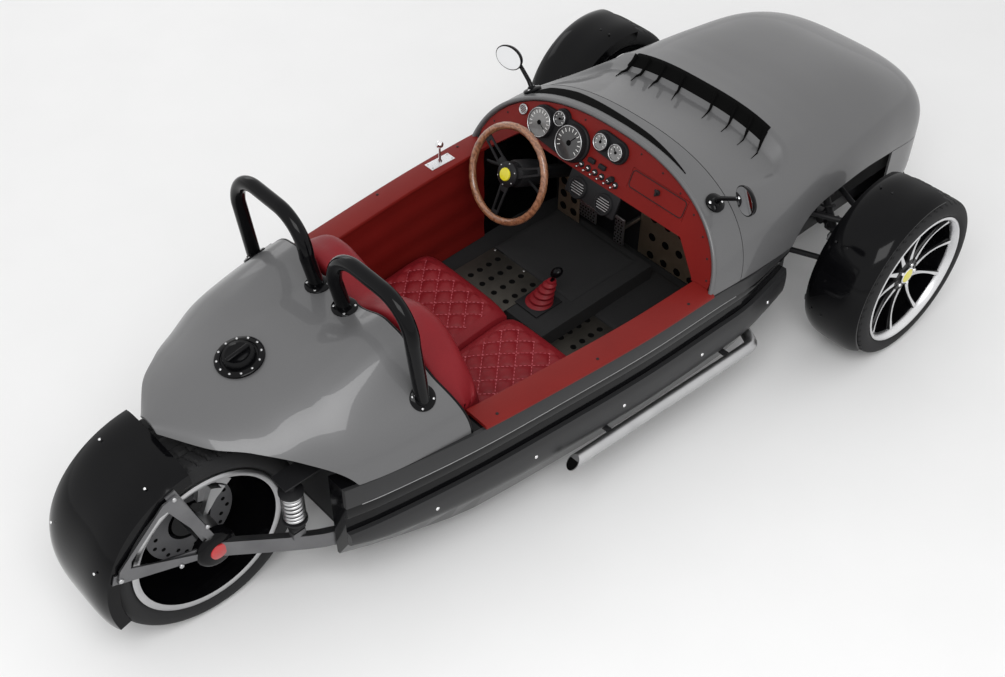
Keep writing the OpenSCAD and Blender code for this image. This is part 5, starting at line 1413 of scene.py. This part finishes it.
# %% Kick and tread plates
KICK_X = -600
TREADS = [[228.0, TUNNEL_TOP, -945.0, 309.0, 4, 285.0], [-299.0, FLOOR_TOP, -875.0, -102.0, 7, 440.0]]
TREAD_REAR = -1200
kick = joined([block((5, 340, 290), 2, (FIRE_X - 4, -130, 312)),
               block((5, 116, 200), 2, (KICK_X, 318, TUNNEL_TOP + 101))])
piece("kick_plates", kick, bronze)
kick_holes = [(FIRE_X - 6.8, -25 - 68 * k, 190 + 88 * j) for k in range(5) for j in range(3)]
kick_holes += [(KICK_X - 2.8, 290 + 56 * k, TUNNEL_TOP + 40 + 60 * j) for k in range(2) for j in range(3)]
piece("kick_holes", punched(kick_holes, 17, REARWARD), shade_and_plain_black)
plates, plate_holes, plate_screws = [], [], []
for mid_y, z, front, first_y, across, width in TREADS:
    plates.append(block((front - TREAD_REAR, width, 4), 1.5, ((front + TREAD_REAR) / 2, mid_y, z + 2.6)))
    plate_holes += [(front - 36 - 45 * a, first_y - 64 * b, z + 4.7) for a in range(4) for b in range(across)]
    plate_screws += [(front - 8, first_y + 46 - 160 * b, z + 4.6) for b in range(across // 2)]
piece("tread_plates", joined(plates), dark_plate_metal)
piece("plate_holes", punched(plate_holes, 11.5, UP), shade_and_plain_black)
piece("plate_screws", studs(plate_screws, UP, 5, 3), steel)

# %% [markdown]
# Loose mats lie on the floor, one on the raised side for the driver and one low on the right. They are thin,
# with a soft bound edge and a slight roll, and the carpet finish gives the pile.

# %% Mats
MAT_THICK, MAT_EDGE, MAT_ROLL, EDGE_SHARE = 7, 5, 1.2, 0.93


def mat(x0, x1, y0, y1, z):
    rows = []
    for i in np.linspace(0, 1, 41):
        row = []
        for j in np.linspace(0, 1, 41):
            edge = soft_step((max(abs(2 * i - 1), abs(2 * j - 1)) - EDGE_SHARE) / (1 - EDGE_SHARE))
            height = MAT_THICK - MAT_EDGE * edge + MAT_ROLL * math.sin(9 * i + 4 * j) * math.sin(7 * j)
            row.append((x0 + (x1 - x0) * i, y0 + (y1 - y0) * j, z + height))
        rows.append(row)
    return slab(rows, [[(x, y, z + 0.6) for x, y, _ in row] for row in rows])


mats = joined([mat(-938, -600, -40, 372, TUNNEL_TOP), mat(-868, -520, -505, -80, FLOOR_TOP)])
piece("floor_mats", mats, carpet)

# %% [markdown]
# The lever in the middle has a red gaiter with folds and a black ball. The folds are a turned profile whose
# radius rises and falls as it narrows. On the left sill a short lever with a bright ball stands on a plate.

# %% Levers
LEVER_AT, LEVER_LEAN = (-1028.0, 38.0, TUNNEL_TOP + 0.5), (0.28, -0.3)
GAITER_R, GAITER_TAPER, GAITER_H, FOLDS, FOLD_DEEP = 52, 35, 110, 5, 4.5
sill_x = -0.415 * WHEELBASE
sill_at = (sill_x, float(plan_w(sill_x)) - BAND - WALL / 2, SILL)


def leant(shape):
    return moved(shape, [[1, 0, LEVER_LEAN[0]], [0, 1, LEVER_LEAN[1]], [0, 0, 1]], LEVER_AT)


def ball(r, height):
    arc = np.linspace(0, math.pi, 17)
    return turned_up([(r * math.sin(t), height - r * math.cos(t)) for t in arc], 28)


folds = [(GAITER_R - GAITER_TAPER * t ** 0.8 + FOLD_DEEP * math.sin(2 * math.pi * FOLDS * t), GAITER_H * t)
         for t in np.linspace(0, 1, 61)]
gaiter = piece("gaiter", leant(turned_up([(0, 0)] + folds + [(0, GAITER_H + 1)], 40)), red_leather,
               replaces=["levers"], sharp=70)
piece("gaiter_base", moved(block((130, 116, 8), 3, (0, 0, 3.6)), shift=LEVER_AT), matt_black)
stick = joined([turned_up([(7, 104), (6, 136), (6, 150)], 18), ball(21, 150)])
piece("lever_ball", leant(stick), gloss_black)
piece("sill_plate", moved(block((110, 44, 4), 1.5, (0, 0, 2.4)), shift=sill_at), machined)
sill_stick = joined([turned_up([(9, 4), (8, 10), (4.5, 16), (4, 62), (4, 70)], 18), ball(15, 80)])
piece("sill_lever", moved(sill_stick, shift=sill_at), chrome)
sill_screws = studs([(a, b, 4.4) for a in (-46, 46) for b in (-14, 14)], UP, 3.5, 2)
piece("sill_plate_screws", moved(sill_screws, shift=sill_at), steel)

# %% [markdown]
# Two bent tubes stand behind the heads. Each is one path: up from the deck, round a bend, across and down
# again. The feet have flanges with four screws, and the feet take their height from the deck.

# %% Roll hoops
HOOP_TOP, HOOP_BEND, HOOP_BACK, HOOP_SINK, HOOP_TUBE = 1090, 120, 25, 6, 23
HOOP_FEET = (66, 416)
hoop_x = DECK_FRONT - 34


def hoop_leg(y):
    foot, knee = deck_z(hoop_x, y) - HOOP_SINK, HOOP_TOP - HOOP_BEND
    return [(hoop_x - HOOP_BACK * t, y, foot + (knee - foot) * t) for t in np.linspace(0, 1, 8)[:-1]]


def hoop_bend(y, way):
    """A quarter bend from a leg to the top."""
    return [(hoop_x - HOOP_BACK, y + way * HOOP_BEND * (1 - math.cos(a)),
             HOOP_TOP - HOOP_BEND * (1 - math.sin(a))) for a in np.linspace(0, math.pi / 2, 16)]


inner, outer = HOOP_FEET
hoop_path = hoop_leg(inner) + hoop_bend(inner, 1) + hoop_bend(outer, -1)[::-1] + hoop_leg(outer)[::-1]
piece("hoops", both(pipe(hoop_path, HOOP_TUBE, 28)), gloss_black, replaces=["roll_hoops"])
flange = turned_up([(40, -3), (40, 3), (37, 5.5), (25, 7), (24, 12)], 36)
flange_screws = studs(circle(32, 4, 5, 0.7), UP, 4, 3)
feet = [((hoop_x, y, deck_z(hoop_x, y)), deck_normal(hoop_x, y)) for y in HOOP_FEET]
piece("hoop_flanges", both(joined([set_on(flange, *foot) for foot in feet])), gloss_black)
piece("hoop_screws", both(joined([set_on(flange_screws, *foot) for foot in feet])), steel)

# %% [markdown]
# The filler is a black flange with a ring of socket screws round a turned cap with a grip bar. It lies on
# the deck at the slope of the deck there.

# %% Fuel filler
fill_x = -0.891 * WHEELBASE
fill_at = ((fill_x, 0, deck_z(fill_x, 0)), deck_normal(fill_x, 0))
filler = joined([turned_up([(75, 0.4), (75, 7), (72, 9.5), (58, 10), (56, 7), (54, 7)], 64),
                 turned_up([(50, 5), (50, 18), (47, 23), (38, 25), (34, 22), (20, 20), (0, 20)], 56),
                 block((80, 15, 12), 4, (0, 0, 24))])
piece("filler_cap", set_on(filler, *fill_at), gloss_black, replaces=["fuel_filler"])
piece("filler_screws", set_on(studs(circle(66, 12, 9.6), UP, 4, 3), *fill_at), steel)

# %% [markdown]
# The mirrors are ovals on stalks that rise from the cowl. A thin black shell holds the glass, which looks
# rearward, the right one turned further in. Each stalk stands on a black foot with two bright bolts.

# %% Mirrors
MIRROR_AT = np.array((-0.277 * WHEELBASE, 555, 880.0))
LEFT_LOOK, RIGHT_LOOK = (-0.98, -0.18, 0.1), (-0.92, 0.39, 0.08)
FOOT_ROW, FOOT_SHARE = 7.35, 0.52
SHELL = [(0.3, -17), (0.7, -14), (0.93, -7), (1, 2), (1.0, 7), (0.95, 8)]
GLASS = [(1, 7.6), (1, 9), (0.6, 9.6)]


def oval(half_w, half_h, rows):
    """Skins rings of an oval at (share, height) rows."""
    return looped([[(x * half_w, y * half_h, z) for x, y, _ in circle(k, 48)] for k, z in rows])


def aimed(shape, glance, side):
    """Turns a shape drawn with Z out of the glass to look along glance, at the mirror on that side."""
    look = np.array(glance) / np.linalg.norm(glance)
    aside = np.cross(UP, look) / np.linalg.norm(np.cross(UP, look))
    return moved(shape, np.array([aside, np.cross(look, aside), look]).T, MIRROR_AT * (1, side, 1))


shells, glasses = (joined([aimed(s, LEFT_LOOK, 1), aimed(s, RIGHT_LOOK, -1)])
                   for s in (oval(58, 46, SHELL), oval(54, 42, GLASS)))
foot, foot_n = front_point(FOOT_ROW, FOOT_SHARE) + SHUT_LINE, front_normal(FOOT_ROW, FOOT_SHARE)
mirror_stalk = pipe([foot + foot_n * 6, foot + foot_n * 30 + (0, 6, 6), MIRROR_AT + (22, -16, -14),
                     MIRROR_AT + (12, 0, 0)], [9, 8, 7, 9], 14)
base = set_on(turned_up([(34, 0.6), (34, 6), (31, 9), (16, 12), (12, 18)], 36), foot, foot_n)
piece("mirror_shells", joined([shells, both(joined([mirror_stalk, base]))]), gloss_black,
      replaces=["mirrors"])
piece("mirror_glass_pair", glasses, mirror_glass)
clamp_bolts = set_on(studs(circle(22, 2, 7, 0.4), UP, 6, 5), foot, foot_n)
piece("clamp_bolts", both(clamp_bolts), chrome)

# %% [markdown]
# A pipe runs along each side under the rocker, on two hangers. Its front turns in to the body and its tail
# is cut at a slant, with a dark bore: a near-black disc just inside the tail, painted shade. The slant is a
# shift of the last ring's points along the pipe.

# %% Exhausts
PIPE_FRONT, PIPE_REAR, PIPE_Z = -0.248 * WHEELBASE, -0.58 * WHEELBASE, 240.0
PIPE_R, PIPE_SIDES, PIPE_OUT, SLANT, BORE_SHARE = 22, 32, 34, 0.9, 0.86


def pipe_y(x):
    """The pipe's place out from the middle: straight between two stations of the side."""
    front_w, rear_w = float(plan_w(PIPE_FRONT)), float(plan_w(PIPE_REAR))
    return front_w + (rear_w - front_w) * (x - PIPE_FRONT) / (PIPE_REAR - PIPE_FRONT) + PIPE_OUT


pipe_foot = float(plan_w(PIPE_FRONT)) - 22
pipe_line = [(PIPE_FRONT + 34 - 40 * t, pipe_foot + 54 * math.sin(t * math.pi / 2), PIPE_Z)
             for t in np.linspace(0, 1, 6)]
pipe_line += [(x, pipe_y(x), PIPE_Z) for x in np.linspace(PIPE_FRONT - 26, PIPE_REAR, 24)]
points, pipe_faces = pipe(pipe_line, PIPE_R, PIPE_SIDES)
tail = points[-PIPE_SIDES:]
tail[:, 0] += (tail[:, 2] - PIPE_Z) * SLANT
tail_mid = np.array(pipe_line[-1])
bore = [[tail_mid + (p - tail_mid) * (1, BORE_SHARE, BORE_SHARE) - (d, 0, 0) for p in tail]
        for d in (1.2, 0.6)]
piece("side_pipes", both((points, pipe_faces)), steel, replaces=["exhausts"])
# The bore's near-black is painted shade inside the pipe.
piece("pipe_bores", both(looped(bore)), shade_and_plain_black)
hanger_xs = [PIPE_FRONT + share * (PIPE_REAR - PIPE_FRONT) for share in (0.12, 0.78)]
hangers = [block((14, 52, 20), 3, (x, pipe_y(x) - 44, PIPE_Z)) for x in hanger_xs]
piece("pipe_hangers", both(joined(hangers)), frame_black)

# %% [markdown]
# The lamps in the grille are bowls with a ribbed lens and a bright
# ring. They are turned about Z and then set to look forward.

# %% Headlamps
LAMP_Y, LAMP_Z = 150, 340
lamp_x = in_mm(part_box("headlamps")[1])[0]


def on_lamp(shape):
    return both(set_on(shape, (lamp_x, LAMP_Y, LAMP_Z), (1, 0, 0)))


lamp_bowl = turned_up([(40, -46), (56, -40), (58, -8), (58, -2)], 40)
lamp_lens = turned_up([(52 * math.sin(t), -10 + 9 * math.cos(t)) for t in np.linspace(math.pi / 2, 0, 9)], 40)
piece("lamp_bowls", on_lamp(lamp_bowl), matt_black, replaces=["headlamps"])
piece("lamp_rims", on_lamp(pipe(circle(53, 48, -3), 5, 10, True)), chrome)
piece("lamp_lenses", on_lamp(lamp_lens), lens)

# %% [markdown]
# The solids that already have the right shape stay, and
# only get a finish: floor, walls, frame, arms and the like.

# %% Finishes for the solids
KEPT = {"floor_pan": carpet, "side_walls": gloss_black, "firewall": matt_black, "rear_bulkhead": matt_black,
        "grille": matt_black, "splitter": gloss_black, "dash": red_panel, "glovebox_lid": red_panel,
        "steering_column": matt_black, "rear_shield": matt_black, "engine": cast, "front_frame": frame_black,
        "suspension": frame_black, "swing_arm": arm_grey, "knuckle_left": cast, "knuckle_right": cast}
for node, material in KEPT.items():
    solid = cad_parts[node]
    solid.data.materials.clear()
    solid.data.materials.append(material)
print("kept solids", len(KEPT))

# %% [markdown]
# The stage is a pale floor under soft light: a wide lamp on the camera's side,
# one at the left, and a white world. The world is white to the eye and in
# reflections, and dimmer as a light, so that colours render about as written.

# %% Light
WORLD_LIGHT = 0.84


def lamp(name, place, target, size, power):
    data = bpy.data.lights.new(name, "AREA")
    data.shape = "RECTANGLE"
    data.size, data.size_y = size
    data.energy = power
    back = np.array(place, float) - np.array(target, float)
    back /= np.linalg.norm(back)
    right = np.cross((0.0, 1.0, 0.0) if abs(back[2]) > 0.9 else (0, 0, 1.0), back)
    right /= np.linalg.norm(right)
    stand(bpy.data.objects.new(name, data), (right, np.cross(back, right), back), place)


lamp("key", (-2.2, -2.2, 4.2), (0, 0, 0.4), (2.8, 2.0), 98)
lamp("left_fill", (0.6, 4.4, 2.4), (0.3, 0, 0.5), (2.4, 1.2), 12)

world = bpy.data.worlds.new("studio")
bpy.context.scene.world = world
world.use_nodes = True
nodes, links = world.node_tree.nodes, world.node_tree.links
rays = nodes.new("ShaderNodeLightPath").outputs
seen = Wire(rays["Is Camera Ray"]) + Wire(rays["Is Glossy Ray"]) + Wire(rays["Is Transmission Ray"])
level = seen.maths("MINIMUM", seen, 1.0)
links.new((WORLD_LIGHT + (1 - WORLD_LIGHT) * level).socket, nodes["Background"].inputs["Strength"])
nodes["Background"].inputs["Color"].default_value = (1, 1, 1, 1)
print("lamps", [light.name for light in bpy.data.lights], "world light", WORLD_LIGHT)

# %% [markdown]
# The floor is one large face just under the wheels. Its white varies a little, as a painted studio floor
# does.

# %% Floor
FLOOR_HALF, FLOOR_DROP = 40.0, 0.001
floor_mesh = bpy.data.meshes.new("floor")
corners = [(x * FLOOR_HALF, y * FLOOR_HALF, 0) for x, y in ((-1, -1), (1, -1), (1, 1), (-1, 1))]
floor_mesh.from_pydata(corners, [], [(0, 1, 2, 3)])
floor = bpy.data.objects.new("floor", floor_mesh)
floor.location.z = -FLOOR_DROP
bpy.context.scene.collection.objects.link(floor)
floor_white, shader, at = finish("floor_white", {"Roughness": 0.7, "Specular IOR Level": 0.2})
feed(shader, Base_Color=at.noise(3, 4.0).mixed((0.84, 0.84, 0.84), (0.88, 0.88, 0.88)))
floor_mesh.materials.append(floor_white)
print("floor", 2 * FLOOR_HALF, "m square")
